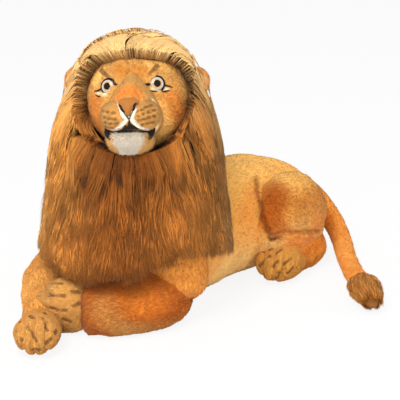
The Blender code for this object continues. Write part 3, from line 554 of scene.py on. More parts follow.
def make_pile_tone():
    """Pile colour: the dye, darker at the root as painted shade deep in the pile, lighter or darker strand by
    strand, mottled in patches.

    Colour = dye * (root + (1 - root) * reach) * (1 + spread * (tone - 1/2)) * (1 + mottle * (noise - 1/2)),
    held so that its red stays under 0.97.
    """
    tree = bpy.data.node_groups.new("pile tone", "ShaderNodeTree")
    for label, kind, value in (
        ("Dye", "NodeSocketColor", (0.7, 0.3, 0.1, 1)), ("Tone", "NodeSocketFloat", 0.5),
        ("Reach", "NodeSocketFloat", 0.5), ("Root", "NodeSocketFloat", 0.6),
        ("Spread", "NodeSocketFloat", 0.4), ("Mottle", "NodeSocketFloat", 0.2),
        ("Patch", "NodeSocketFloat", 40.0), ("Grain", "NodeSocketFloat", 900.0),
    ):
        socket = tree.interface.new_socket(label, in_out="INPUT", socket_type=kind)
        socket.default_value = value
    tree.interface.new_socket("Colour", in_out="OUTPUT", socket_type="NodeSocketColor")
    tree.interface.new_socket("Height", in_out="OUTPUT", socket_type="NodeSocketFloat")
    given = tree.nodes.new("NodeGroupInput")
    made = tree.nodes.new("NodeGroupOutput")
    place = tree.nodes.new("ShaderNodeTexCoord")
    patch = tree.nodes.new("ShaderNodeTexNoise")
    patch.inputs["Detail"].default_value = 3
    grain = tree.nodes.new("ShaderNodeTexNoise")
    grain.inputs["Detail"].default_value = 2
    for noise, scale in ((patch, "Patch"), (grain, "Grain")):
        tree.links.new(place.outputs["Object"], noise.inputs["Vector"])
        tree.links.new(given.outputs[scale], noise.inputs["Scale"])
    # Painted shade: the colour falls to the Root share at a fibre's root.
    root_shade_part = link_value(tree, "SUBTRACT", 1.0, given.outputs["Root"])
    depth = link_value(tree, "MULTIPLY_ADD", root_shade_part, given.outputs["Reach"], given.outputs["Root"])
    strand = link_value(tree, "SUBTRACT", given.outputs["Tone"], 0.5)
    strand = link_value(tree, "MULTIPLY_ADD", strand, given.outputs["Spread"], 1.0)
    mottle = link_value(tree, "SUBTRACT", patch.outputs["Fac"], 0.5)
    mottle = link_value(tree, "MULTIPLY_ADD", mottle, given.outputs["Mottle"], 1.0)
    speck = link_value(tree, "SUBTRACT", grain.outputs["Fac"], 0.5)
    speck = link_value(tree, "MULTIPLY_ADD", speck, given.outputs["Mottle"], 1.0)
    level = link_value(tree, "MULTIPLY", depth, strand)
    level = link_value(tree, "MULTIPLY", level, mottle)
    level = link_value(tree, "MULTIPLY", level, speck)
    parts = tree.nodes.new("ShaderNodeSeparateXYZ")
    tree.links.new(given.outputs["Dye"], parts.inputs[0])
    limit = link_value(tree, "DIVIDE", 0.97, parts.outputs["X"])
    level = link_value(tree, "MINIMUM", level, limit)
    mixed = tree.nodes.new("ShaderNodeVectorMath")
    mixed.operation = "SCALE"
    tree.links.new(given.outputs["Dye"], mixed.inputs[0])
    tree.links.new(level, mixed.inputs["Scale"])
    tree.links.new(mixed.outputs[0], made.inputs["Colour"])
    tree.links.new(grain.outputs["Fac"], made.inputs["Height"])
    return tree


pile_tone_and_root_shade = make_pile_tone()


def fibre_material(name, roughness, root, spread, mottle, patch, grain, sheen=0.25, bump=0.3, specular=0.25):
    """A dyed fibre: the stored dye through the pile tone group with its painted root shade, a fine bump, and
    sheen set on the shader.
    """
    material = bpy.data.materials.new(name)
    material.use_nodes = True
    tree = material.node_tree
    shader = tree.nodes["Principled BSDF"]
    tone = tree.nodes.new("ShaderNodeGroup")
    tone.node_tree = pile_tone_and_root_shade
    for label, value in (
        ("Root", root), ("Spread", spread), ("Mottle", mottle), ("Patch", patch), ("Grain", grain)
    ):
        tone.inputs[label].default_value = value
    for attribute, output in (("dye", "Color"), ("tone", "Fac"), ("reach", "Fac")):
        stored = tree.nodes.new("ShaderNodeAttribute")
        stored.attribute_name = attribute
        tree.links.new(stored.outputs[output], tone.inputs[attribute.capitalize()])
    relief = tree.nodes.new("ShaderNodeBump")
    relief.inputs["Strength"].default_value = bump
    relief.inputs["Distance"].default_value = 0.0006
    tree.links.new(tone.outputs["Height"], relief.inputs["Height"])
    tree.links.new(relief.outputs["Normal"], shader.inputs["Normal"])
    tree.links.new(tone.outputs["Colour"], shader.inputs["Base Color"])
    rough = tree.nodes.new("ShaderNodeMapRange")
    rough.inputs["To Min"].default_value = roughness - 0.08
    rough.inputs["To Max"].default_value = roughness + 0.08
    tree.links.new(tone.outputs["Height"], rough.inputs["Value"])
    tree.links.new(rough.outputs["Result"], shader.inputs["Roughness"])
    shader.inputs["Specular IOR Level"].default_value = specular
    shader.inputs["Sheen Weight"].default_value = sheen
    shader.inputs["Sheen Roughness"].default_value = 0.45
    shader.inputs["Sheen Tint"].default_value = (1.0, 0.82, 0.6, 1)
    return material


PLUSH_LOOK = {"sheen": 0.15, "bump": 0.2, "specular": 0.12}
gold_plush = fibre_material("gold plush", 0.88, 0.84, 0.20, 0.12, 26, 600, **PLUSH_LOOK)


def dress(skin, body, node, material, dye, pile=None):
    """Gives a skin its colours and material, and lets it stand for its solid. Its pile rides along."""
    piece = skin["piece"]
    count = len(skin["points"])
    set_marks(piece, dye(skin["points"]), np.full(count, SKIN_TONE), np.full(count, SKIN_REACH))
    for part in filter(None, (piece, pile)):
        part.data.materials.append(material)
        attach(part, body)
    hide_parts(node)


torso_heights = np.array(TORSO_HALF_HEIGHT_SHARES) * TORSO_HEIGHT
torso_form = tube(
    laid((0, 0), TORSO_LENGTH, [(x, 0) for x in TORSO_X_SHARES], torso_heights),
    np.array(TORSO_HALF_WIDTH_SHARES) * TORSO_WIDTH, torso_heights, (0.22, 0.26), rings=17, power=2.3,
)


def body_colour_and_painted_light(middle, dabs, highlight_from=0.145):
    """Sand low down and a middle colour above it, with a painted highlight along the back, and dabs."""
    def dye(points):
        height = smooth_step(*FLANK_SAND_HEIGHTS, points[..., 2])[..., None]
        # Painted highlight: pale gold over the top, above the given height.
        top = TOP_HIGHLIGHT_COVER * smooth_step(highlight_from, highlight_from + TOP_HIGHLIGHT_FADE, points[..., 2])[..., None]
        base = np.asarray(SAND) * (1 - height) + np.asarray(middle) * height
        return paint(points, base * (1 - top) + np.asarray(PALE_GOLD) * top, dabs)
    return dye


# The crease between the left haunch and the torso: a dent, with painted shade in dark brown along it.
CREASE = (
    (0.061, -0.059, 0.172), (0.048, -0.073, 0.157), (0.043, -0.082, 0.136), (0.037, -0.095, 0.116),
    (0.041, -0.102, 0.096), (0.046, -0.106, 0.083),
)
CREASE_SHADE_BROWN = (0.30, 0.075, 0.008)
CREASE_SHADE_DABS = along(CREASE, 0.0012, 0.0075, CREASE_SHADE_BROWN, 0.85)
TORSO_DABS = [
    ((-0.06, -0.09, 0.12), (0.03, -0.09, 0.10), 0.012, 0.04, GOLD, 0.5),
    # Painted shade: orange on the torso in front of the left crease, and deep orange down the right crease.
    ((0.035, -0.080, 0.155), (0.010, -0.090, 0.130), 0.004, 0.030, ORANGE, 0.45),
    ((0.060, 0.070, 0.160), (0.035, 0.095, 0.08), 0.006, 0.028, DEEP_ORANGE, 0.75),
    ((-0.030, -0.105, 0.120), (-0.020, -0.110, 0.060), 0.001, 0.010, ORANGE, 0.25),
    ((-0.10, -0.095, 0.05), (-0.07, -0.09, 0.13), 0.01, 0.03, GOLD, 0.6),
    *CREASE_SHADE_DABS,
]
torso_colour_and_painted_light = body_colour_and_painted_light(BRIGHT_GOLD, TORSO_DABS)
torso = sewn("torso_plush", skin_grid(torso_form, 100, 96, 11, 0.0016, 0.06, floor=True), torso_form)

# Neck: the upright stuffed column that carries the head, in the same gold plush. It is sewn to the chest
# and to the head, and the mane hides it.
NECK_HEIGHT, NECK_RADIUS = 0.22, 0.098
NECK_START = on_torso(-0.3175, 0, 0.34)
NECK_PATH_SHARES = ((0, 0, 0), (-0.03, 0, 0.35), (-0.06, -0.02, 0.7), (-0.09, -0.05, 1.0))


def held(start, length, shares):
    """A path in space from a start, in shares of a length."""
    return np.asarray(start, float) + np.asarray(shares, float) * length


neck_radii = np.array((0.95, 1.0, 0.88, 0.74)) * NECK_RADIUS
neck_form = tube(
    held(NECK_START, NECK_HEIGHT, NECK_PATH_SHARES), neck_radii, neck_radii, (0.2, 0.25), rings=8,
    top=(1, 0, 0),
)

# Head: a stuffed ball of gold plush with the cheeks let in, turned to the toy's left, tipped up a little
# and leaning. The brows, the eye sockets and the seam over the forehead are drawn in with thread.
HEAD_WIDTH, HEAD_DEPTH, HEAD_HEIGHT = 0.156, 0.160, 0.152
HEAD_TURN, HEAD_PITCH, HEAD_ROLL = math.radians(-53.5), math.radians(14), math.radians(3)
HEAD_SHIFT, HEAD_RISE_SHARE = -0.008, 0.38
HEAD_BULGES = (
    ((0.55, -0.6, -0.55), 0.06, 0.6), ((-0.55, -0.6, -0.55), 0.06, 0.6),
    ((0.26, -0.78, 0.57), 0.05, 0.24), ((-0.26, -0.78, 0.57), 0.05, 0.24),
    ((0.03, -0.66, -0.75), 0.18, 0.5),
)
FACE_FRONTS = (-0.165, -0.010, 0.0005)
FACE_GOLD = (0.67, 0.330, 0.078)
CREAM = (0.97, 0.74, 0.40)
CLAW_BROWN = (0.24, 0.095, 0.028)
BROW_ORANGE = (0.58, 0.215, 0.034)


def turn_about(axis, angle):
    """A 4 x 4 turn about one of the three axes."""
    matrix = np.eye(4)
    first, second = [(1, 2), (2, 0), (0, 1)][axis]
    matrix[first, first] = matrix[second, second] = math.cos(angle)
    matrix[second, first], matrix[first, second] = math.sin(angle), -math.sin(angle)
    return matrix


neck_top = held(NECK_START, NECK_HEIGHT, NECK_PATH_SHARES[-1:])[0]
head_pose = turn_about(2, HEAD_TURN) @ turn_about(0, -HEAD_PITCH) @ turn_about(1, -HEAD_ROLL)
head_pose[:3, 3] = neck_top + np.array((0, HEAD_SHIFT, HEAD_HEIGHT * HEAD_RISE_SHARE))


def on_head(x, y, z):
    """A point of the head's own frame in half sizes: +X is the toy's left, -Y the front."""
    return np.array((x * HEAD_WIDTH / 2, y * HEAD_DEPTH / 2, z * HEAD_HEIGHT / 2))


def face_points(*points):
    """Points of the head's own frame, taken into the toy's."""
    return placed(np.array(points, float), head_pose)


def on_face(x, z, *forms):
    """The front of some forms at (x, z) of the head's own frame, in the toy's."""
    y = np.arange(*FACE_FRONTS)
    line = face_points(*np.column_stack([np.full(len(y), x), y, np.full(len(y), z)]))
    inside = np.any([level_of(form, line)[0] < 0 for form in forms], axis=0)
    return line[np.argmax(inside)] if inside.any() else line[-1]


def face_dabs(form, dabs):
    """Dabs or dents whose ends are given as (x, z) of the head's own frame, laid on a form."""
    return [(on_face(*start, form), on_face(*end, form), *rest) for start, end, *rest in dabs]


def ball(centre, half_sizes, bulges=(), pose=None):
    """The measures of a stuffed ball. Each bulge is (direction, amount, spread), in shares of its size."""
    return {
        "grid": ball_grid, "level": ball_level, "centre": np.asarray(centre, float),
        "halves": np.asarray(half_sizes, float), "bulges": bulges, "pose": pose,
    }


def ball_swell(form, directions):
    """1 + the sum over the bulges of amount * exp(-(angle / spread)^2)."""
    swell = np.ones(directions.shape[:-1])
    for direction, amount, spread in form["bulges"]:
        apart = np.arccos(np.clip(directions @ unit(np.asarray(direction, float)), -1, 1))
        swell = swell + amount * np.exp(-((apart / spread) ** 2))
    return swell


def ball_grid(form, rows, columns):
    """Centre + half sizes * direction * swell, over polar angle and turn."""
    polar = np.pi * np.arange(rows + 1)[:, None] / rows
    turn = 2 * np.pi * np.arange(columns)[None] / columns
    directions = np.stack([
        np.sin(polar) * np.cos(turn), np.sin(polar) * np.sin(turn), np.cos(polar) + 0 * turn
    ], axis=-1)
    directions[0], directions[-1] = (0, 0, 1), (0, 0, -1)
    grid = form["centre"] + form["halves"] * directions * ball_swell(form, directions)[..., None]
    return placed(grid, form["pose"])


def ball_level(form, points):
    """Distance outside the swollen ellipsoid along the ray from its centre, and which way out is."""
    offset = placed(points, form["pose"], inverse=True) - form["centre"]
    scaled_offset = offset / form["halves"]
    rho = np.linalg.norm(scaled_offset, axis=1) / ball_swell(form, unit(scaled_offset))
    level = np.linalg.norm(offset, axis=1) * (1 - 1 / np.maximum(rho, 1e-6))
    out = unit(scaled_offset / form["halves"])
    return level, out if form["pose"] is None else out @ form["pose"][:3, :3].T


head_form = ball((0, 0, 0), on_head(1, 1, 1), HEAD_BULGES, pose=head_pose)
HEAD_DABS = face_dabs(head_form, [
    ((0.034, -0.062), (-0.036, -0.062), 0.012, 0.026, PALE_GOLD, 0.95),
    ((0.040, -0.018), (0.042, -0.056), 0.006, 0.014, PALE_GOLD, 0.9),
    ((0.055, -0.040), (0.044, -0.058), 0.005, 0.015, PALE_GOLD, 0.8),
    ((0.058, -0.004), (0.063, -0.020), 0.004, 0.030, ORANGE, 0.72),
    ((-0.060, -0.006), (-0.056, -0.030), 0.006, 0.024, ORANGE, 0.7),
    ((-0.0224, 0.0456), (-0.0145, 0.0393), 0.003, 0.013, BROW_ORANGE, 0.9),
    ((0.0019, 0.0417), (0.0132, 0.0399), 0.003, 0.013, BROW_ORANGE, 0.9),
    ((-0.006, 0.0540), (-0.005, 0.0390), 0.0004, 0.0018, DEEP_ORANGE, 0.7),
    ((-0.0472, 0.0502), (-0.0589, 0.0297), 0.005, 0.011, PALE_GOLD, 0.9),
    ((0.0272, 0.0514), (0.0438, 0.0467), 0.005, 0.011, PALE_GOLD, 0.9),
    ((0.0290, 0.0135), (0.0500, 0.0135), 0.002, 0.003, CREAM, 0.9),
    ((-0.0570, 0.0105), (-0.0400, 0.0080), 0.002, 0.003, CREAM, 0.9),
    ((0.0358, 0.0475), (0.0306, 0.0416), 0.0031, 0.0014, CLAW_BROWN, 0.85),
    ((0.0306, 0.0416), (0.0252, 0.0358), 0.0021, 0.0014, CLAW_BROWN, 0.85),
    ((-0.0515, 0.0450), (-0.0453, 0.0394), 0.0031, 0.0014, CLAW_BROWN, 0.85),
    ((-0.0453, 0.0394), (-0.0362, 0.0322), 0.0021, 0.0014, CLAW_BROWN, 0.85),
])
BROW_DENTS = face_dabs(head_form, [
    ((-0.006, 0.056), (-0.005, 0.039), 0.0045, 0.0040),
    ((-0.005, 0.038), (-0.025, 0.025), 0.0026, 0.0034),
    ((-0.005, 0.038), (0.016, 0.025), 0.0026, 0.0034),
    ((-0.030, 0.040), (-0.031, 0.030), 0.0018, 0.0050),
    ((0.024, 0.042), (0.022, 0.031), 0.0018, 0.0050),
    ((-0.0245, 0.0215), (-0.0235, 0.0150), 0.0022, 0.0045),
    ((0.0200, 0.0205), (0.0205, 0.0140), 0.0022, 0.0045),
])

# Eye lines: black thread embroidered from the corners of each eye, and in short dashes under it. Each is
# laid on the face through four points of the head's own frame, with its half width at each.
EYE_LINES = (
    (((0.0172, -0.0775, 0.0208), (0.0195, -0.0765, 0.0203), (0.0225, -0.0752, 0.0200),
      (0.0262, -0.0742, 0.0198)), (0.0006, 0.0016, 0.0019, 0.0019)),
    (((0.0440, -0.0645, 0.0186), (0.0475, -0.0625, 0.0176), (0.0512, -0.0600, 0.0166),
      (0.0568, -0.0535, 0.0149)), (0.0016, 0.0013, 0.0010, 0.0005)),
    (((0.0262, -0.0775, 0.0110), (0.0293, -0.0755, 0.0100), (0.0325, -0.0735, 0.0097),
      (0.0360, -0.0715, 0.0098)), (0.0005, 0.0009, 0.0009, 0.0005)),
    (((0.0415, -0.0685, 0.0092), (0.0450, -0.0662, 0.0091), (0.0488, -0.0635, 0.0097),
      (0.0524, -0.0600, 0.0108)), (0.0005, 0.0010, 0.0010, 0.0005)),
    (((-0.0470, -0.0635, 0.0172), (-0.0515, -0.0600, 0.0148), (-0.0565, -0.0548, 0.0134),
      (-0.0618, -0.0478, 0.0134)), (0.0016, 0.0013, 0.0011, 0.0005)),
    (((-0.0590, -0.0528, 0.0082), (-0.0560, -0.0573, 0.0060), (-0.0530, -0.0608, 0.0052),
      (-0.0498, -0.0638, 0.0055)), (0.0005, 0.0010, 0.0010, 0.0005)),
    (((-0.0280, -0.0735, 0.0220), (-0.0262, -0.0742, 0.0219), (-0.0245, -0.0750, 0.0217),
      (-0.0222, -0.0762, 0.0215)), (0.0014, 0.0014, 0.0012, 0.0005)),
)
eye_line_forms = [
    tube(places, widths, np.full(4, 0.0012), (0.2, 0.2), rings=8, top=(0, -1, 0), pose=head_pose)
    for places, widths in EYE_LINES
]
head_dye = painted(FACE_GOLD, HEAD_DABS)


def face_flow(points):
    """Away from the bridge of the nose, backwards over the head."""
    bridge = face_points((0, -0.1, 0.0))[0]
    return points - bridge + np.array(head_pose[:3, 1]) * 0.02


head = sewn("head_plush", skin_grid(head_form, 140, 152, 21, 0.0008, 0.04, dents=BROW_DENTS), head_form)
neck = sewn("neck_plush", skin_grid(neck_form, 48, 56, 22), neck_form, ("torso_plush", "head_plush"))
plain_gold = painted(GOLD)
dress(neck, "lion", "neck", gold_plush, plain_gold)
head_pile = pile_on(
    head, 17000, 0.0042, 0.0012, face_flow, head_dye, 23, clear=[neck_form, *eye_line_forms], floor=False,
    lean=1.1
)
dress(head, "lion", "head", gold_plush, head_dye, head_pile)

# Haunches: the two big thighs on the sides of the rump, tightly filled, and sewn to the torso.
# Deep orange painted shade lies on their front edges where they turn into the crease, and a painted
# highlight lies on their tops. A fold over each lower leg carries painted shade.
HAUNCH_SIZE = np.array((0.180, 0.112, 0.160))
HAUNCH_CENTRES = {-1: on_torso(0.24, -0.38, 0.465), 1: on_torso(0.22, 0.38, 0.43)}
HAUNCH_SHARES = {-1: 1.0, 1: 0.95}
HAUNCH_PILE_COUNTS = {-1: 13000, 1: 7500}
# The height above which the haunch's painted highlight begins.
HAUNCH_HIGHLIGHT_FROM = 0.13
HAUNCH_GOLD, FRONT_EDGE_SHADE_ORANGE = (0.57, 0.205, 0.028), (0.40, 0.085, 0.006)
# The fold over the left lower leg: a dent, with painted shade along it and under it.
FOLD = (
    (0.046, -0.105, 0.082), (0.052, -0.113, 0.086), (0.065, -0.121, 0.088), (0.081, -0.128, 0.086),
    (0.103, -0.133, 0.083), (0.132, -0.132, 0.075), (0.158, -0.122, 0.070),
)
FOLD_SHADE_BROWN, FOLD_END_SHADE_BROWN = (0.40, 0.11, 0.012), (0.10, 0.03, 0.006)
HAUNCH_DABS = [
    ((0.030, -0.090, 0.150), (0.030, -0.100, 0.075), 0.004, 0.012, BRIGHT_GOLD, 0.8),
    ((0.062, -0.112, 0.108), (0.072, -0.118, 0.118), 0.004, 0.014, BRIGHT_GOLD, 0.35),
    # Painted shade: deep orange where the haunch's front edge turns into the crease.
    ((0.070, -0.093, 0.146), (0.050, -0.098, 0.120), 0.007, 0.034, FRONT_EDGE_SHADE_ORANGE, 0.95),
    ((0.044, -0.100, 0.110), (0.058, -0.112, 0.094), 0.006, 0.022, DEEP_ORANGE, 0.7),
    ((0.135, -0.131, 0.092), (0.155, -0.122, 0.085), 0.004, 0.026, ORANGE, 0.6),
    # Painted shade on the haunch under the fold.
    ((0.085, -0.126, 0.066), (0.125, -0.127, 0.056), 0.010, 0.022, ORANGE, 0.75),
    *CREASE_SHADE_DABS,
    # Painted shade along the fold, darkest at its inner end.
    *along(FOLD, 0.0008, 0.0055, FOLD_SHADE_BROWN, 0.8),
    ((0.046, -0.106, 0.079), (0.054, -0.115, 0.083), 0.0030, 0.0035, FOLD_END_SHADE_BROWN, 0.9),
]
HAUNCH_DENTS = [*along(CREASE, 0.0045, 0.0042), *along(FOLD, 0.0045, 0.0042)]
SUFFIXES = {-1: "left", 1: "right"}
haunch_forms = {
    side: ball(
        HAUNCH_CENTRES[side], HAUNCH_SIZE * HAUNCH_SHARES[side] / 2,
        (((0.2, 0.75 * side, 0.6), 0.05, 0.8), ((-0.8, 0.4 * side, -0.3), -0.06, 0.6)),
    )
    for side in (-1, 1)
}


def mirrored(points, side):
    """Points of the toy's left taken to its other side."""
    return np.asarray(points, float) * (1, -side, 1)


def mirrored_marks(marks, side):
    """Dabs or dents of the toy's left taken to its other side."""
    return [(mirrored(start, side), mirrored(end, side), *rest) for start, end, *rest in marks]


for side in (-1, 1):
    label = SUFFIXES[side]
    dents = mirrored_marks(HAUNCH_DENTS, side)
    haunch = sewn(
        "haunch_%s_plush" % label,
        skin_grid(haunch_forms[side], 100, 112, 31 + side, 0.0012, 0.05, dents=dents),
        haunch_forms[side], ("torso_plush",),
    )
    haunch_colour_and_painted_light = body_colour_and_painted_light(HAUNCH_GOLD, mirrored_marks(HAUNCH_DABS, side), HAUNCH_HIGHLIGHT_FROM)
    haunch_pile = pile_on(
        haunch, HAUNCH_PILE_COUNTS[side], 0.0040, 0.0016, (0.8, 0, -0.6), haunch_colour_and_painted_light, 33 + side,
        clear=[torso_form],
    )
    dress(haunch, "lion", "haunch_" + label, gold_plush, haunch_colour_and_painted_light, haunch_pile)

torso_pile = pile_on(
    torso, 34000, 0.0042, 0.0017, (1, 0, -0.25), torso_colour_and_painted_light, 12,
    clear=[neck_form, *haunch_forms.values()],
)
dress(torso, "lion", "torso", gold_plush, torso_colour_and_painted_light, torso_pile)

# Hind legs and paws: the lower legs lie on the floor along the flanks and end in four padded toes,
# whose seams are pulled in with thread and whose claws and pads are airbrushed brown.
HIND_LEG_LENGTH, HIND_LEG_HALF_WIDTH, HIND_LEG_HALF_HEIGHT = 0.15, 0.030, 0.036
HIND_PAW_LENGTH, HIND_PAW_HALF_WIDTH, HIND_PAW_HALF_HEIGHT = 0.088, 0.038, 0.033
HIND_LEG_PLAN = ((0, 0), (-0.27, 0.04), (-0.5, 0.05), (-0.75, 0.07))
HIND_PAW_PLAN = ((0.10, 0), (-0.24, 0.05), (-0.59, 0.14), (-0.92, 0.28))
TOES = (0.006, 0.5, 0.003)
HIND_LEG_ORANGE, HIND_PAW_GOLD = (0.80, 0.295, 0.038), (0.70, 0.325, 0.062)
HIND_LEG_DABS = [
    # Painted shade on the leg, under the haunch's fold.
    ((0.08, -0.125, 0.06), (0.15, -0.12, 0.055), 0.008, 0.022, ORANGE, 0.7),
    ((0.19, -0.11, 0.03), (0.17, -0.11, 0.01), 0.01, 0.03, BRIGHT_GOLD, 0.7),
]
HIND_CLAWS = (
    ((0.044, -0.080, 0.044), (0.044, -0.093, 0.056), 0.0022),
    ((0.030, -0.095, 0.035), (0.037, -0.111, 0.053), 0.0022),
    ((0.030, -0.102, 0.025), (0.031, -0.106, 0.020), 0.0022),
    ((0.045, -0.103, 0.061), (0.050, -0.106, 0.063), 0.0018),
    ((0.046, -0.118, 0.057), (0.056, -0.120, 0.061), 0.0018),
    ((0.033, -0.121, 0.039), (0.038, -0.127, 0.048), 0.0024),
    ((0.048, -0.133, 0.043), (0.061, -0.136, 0.048), 0.0022),
    ((0.052, -0.137, 0.026), (0.060, -0.141, 0.034), 0.0022),
    ((0.038, -0.125, 0.018), (0.036, -0.131, 0.030), 0.0022),
)
PAD_HEARTS = ((0.0355, -0.124, 0.0435), (0.0545, -0.1345, 0.0455), (0.056, -0.139, 0.030))
HIND_PAW_DABS = [
    *((start, end, radius, 0.0016, CLAW_BROWN, 0.9) for start, end, radius in HIND_CLAWS),
    *((heart, heart, 0.0008, 0.0010, PALE_GOLD, 0.45) for heart in PAD_HEARTS),
]
pale_plush = fibre_material("pale plush", 0.88, 0.84, 0.20, 0.12, 40, 600, **PLUSH_LOOK)
hind_leg_shares = np.array((0.9, 1.05, 1.0, 0.95))
hind_paw_shares = np.array((0.86, 0.98, 1.04, 0.94))


def flow_along(form):
    """The way that a tube runs, at the station nearest to each point."""
    def flow(points):
        centre, forward = tube_stations(form, np.linspace(0, 1, 33))[:2]
        if form["pose"] is not None:
            forward = forward @ form["pose"][:3, :3].T
        return forward[nearest_of(points, placed(centre, form["pose"]))]
    return flow


for side in (-1, 1):
    label = SUFFIXES[side]
    heights = hind_leg_shares * HIND_LEG_HALF_HEIGHT
    plan = [(x, y * side) for x, y in HIND_LEG_PLAN]
    leg_form = tube(
        laid(on_torso(0.395, 0.45 * side, 0), HIND_LEG_LENGTH, plan, heights),
        hind_leg_shares * HIND_LEG_HALF_WIDTH, heights, (0.3, 0.2), rings=8,
    )
    leg = sewn(
        "hind_leg_%s_plush" % label, skin_grid(leg_form, 48, 56, 41 + side, floor=True), leg_form,
        ("torso_plush", "haunch_%s_plush" % label),
    )
    heights = hind_paw_shares * HIND_PAW_HALF_HEIGHT
    plan = [(x, y * side) for x, y in HIND_PAW_PLAN]
    paw_form = tube(
        laid(on_torso(0.235, 0.46 * side, 0), HIND_PAW_LENGTH, plan, heights),
        hind_paw_shares * HIND_PAW_HALF_WIDTH, heights, (0.3, 0.5), toes=TOES,
    )
    paw = sewn(
        "hind_paw_%s_plush" % label, skin_grid(paw_form, 72, 96, 44 + side, 0.0006, 0.03, floor=True),
        paw_form, ("torso_plush", "haunch_%s_plush" % label, "hind_leg_%s_plush" % label),
    )
    hind_leg_colour_and_shade = painted(HIND_LEG_ORANGE, mirrored_marks(HIND_LEG_DABS, side))
    paw_dye = painted(HIND_PAW_GOLD, mirrored_marks(HIND_PAW_DABS, side))
    near = [torso_form, haunch_forms[side]]
    leg_pile = pile_on(leg, 6000, 0.006, 0.0015, flow_along(leg_form), hind_leg_colour_and_shade, 51 + side, clear=near)
    paw_pile = pile_on(
        paw, 9000, 0.0048, 0.0012, flow_along(paw_form), paw_dye, 54 + side, clear=[*near, leg_form]
    )
    dress(leg, "lion", "hind_leg_" + label, pale_plush, hind_leg_colour_and_shade, leg_pile)
    dress(paw, "lion", "hind_paw_" + label, pale_plush, paw_dye, paw_pile)

# Forelegs: the shoulders hang from the chest, half under the mane, and the thick forearms lie on the
# floor, the left one across the right one's wrist. They are gold plush, airbrushed orange outside. The left
# forearm is painted darker as the shadow of the mane above it.
UPPER_ARM_LENGTH, UPPER_ARM_RADIUS, FOREARM_LENGTH, FOREARM_RADIUS = 0.14, 0.048, 0.22, 0.046
SHOULDERS = {-1: on_torso(-0.33, -0.32, 0.72), 1: on_torso(-0.33, 0.36, 0.72)}
UPPER_ARM_SHARES = {
    -1: ((0, 0, 0), (-0.02, -0.10, -0.25), (-0.06, -0.16, -0.5), (-0.12, -0.14, -0.72)),
    1: ((0, 0, 0), (0, 0.24, -0.22), (-0.05, 0.36, -0.5), (-0.12, 0.36, -0.72)),
}
ELBOWS = {-1: on_torso(-0.30, -0.31, 0), 1: on_torso(-0.32, 0.585, 0)}
FOREARM_PLANS = {
    -1: ((0, 0), (-0.22, -0.08), (-0.43, -0.04), (-0.60, 0.09), (-0.711, 0.224)),
    1: ((0, 0), (-0.30, -0.01), (-0.57, -0.16), (-0.76, -0.325), (-0.93, -0.476)),
}
FOREARM_RADIUS_SHARES = {-1: (0.84, 0.97, 0.93, 0.87, 0.82), 1: (0.92, 0.97, 0.88, 0.70, 0.63)}
ARM_SAND = (0.68, 0.33, 0.085)
FOREARM_DABS = {
    -1: [
        ((-0.2181, -0.099, 0.075), (-0.2551, -0.105, 0.060), 0.010, 0.036, ORANGE, 0.75),
        ((-0.30, -0.06, 0.05), (-0.29, -0.08, 0.02), 0.004, 0.03, ARM_SAND, 0.6),
        ((-0.17, -0.10, 0.015), (-0.28, -0.09, 0.010), 0.006, 0.03, ARM_SAND, 0.7),
    ],
    1: [
        ((-0.26, 0.03, 0.085), (-0.33, 0.01, 0.06), 0.010, 0.04, BRIGHT_GOLD, 0.8),
        ((-0.20, 0.16, 0.03), (-0.33, 0.09, 0.03), 0.010, 0.04, PALE_GOLD, 0.7),
    ],
}
# The left forearm's gold is darker than the right one's: painted shadow of the mane.
ARM_GOLDS_AND_MANE_SHADOW = {-1: (0.51, 0.130, 0.0125), 1: (0.74, 0.34, 0.075)}
forearm_forms = {}
arm_radii = np.array((0.85, 1.0, 1.0, 0.85)) * UPPER_ARM_RADIUS
for side in (-1, 1):
    label = SUFFIXES[side]
    arm_form = tube(
        held(SHOULDERS[side], UPPER_ARM_LENGTH, UPPER_ARM_SHARES[side]), arm_radii, arm_radii, (0.3, 0.35),
        rings=9, top=(1, 0, 0),
    )
    arm = sewn(
        "upper_arm_%s_plush" % label, skin_grid(arm_form, 48, 56, 61 + side, floor=True), arm_form,
        ("torso_plush", "neck_plush"),
    )
    radii = np.array(FOREARM_RADIUS_SHARES[side]) * FOREARM_RADIUS
    forearm_form = tube(
        laid(ELBOWS[side], FOREARM_LENGTH, FOREARM_PLANS[side], radii), radii, radii, (0.25, 0.12), rings=12
    )
    forearm = sewn(
        "forearm_%s_plush" % label, skin_grid(forearm_form, 72, 72, 64 + side, 0.0014, 0.05, floor=True),
        forearm_form, ("torso_plush", "upper_arm_%s_plush" % label),
    )
    forearm_forms[side] = forearm_form
    forearm_colour_and_shadow = painted(ARM_GOLDS_AND_MANE_SHADOW[side], FOREARM_DABS[side])
    arm_pile = pile_on(
        arm, 5000, 0.006, 0.0015, flow_along(arm_form), plain_gold, 67 + side, clear=[torso_form, neck_form]
    )
    forearm_pile = pile_on(
        forearm, 16000, 0.006, 0.0015, flow_along(forearm_form), forearm_colour_and_shadow, 70 + side,
        clear=[torso_form, arm_form],
    )
    dress(arm, "lion", "upper_arm_" + label, gold_plush, plain_gold, arm_pile)
    dress(forearm, "lion", "forearm_" + label, gold_plush, forearm_colour_and_shadow, forearm_pile)

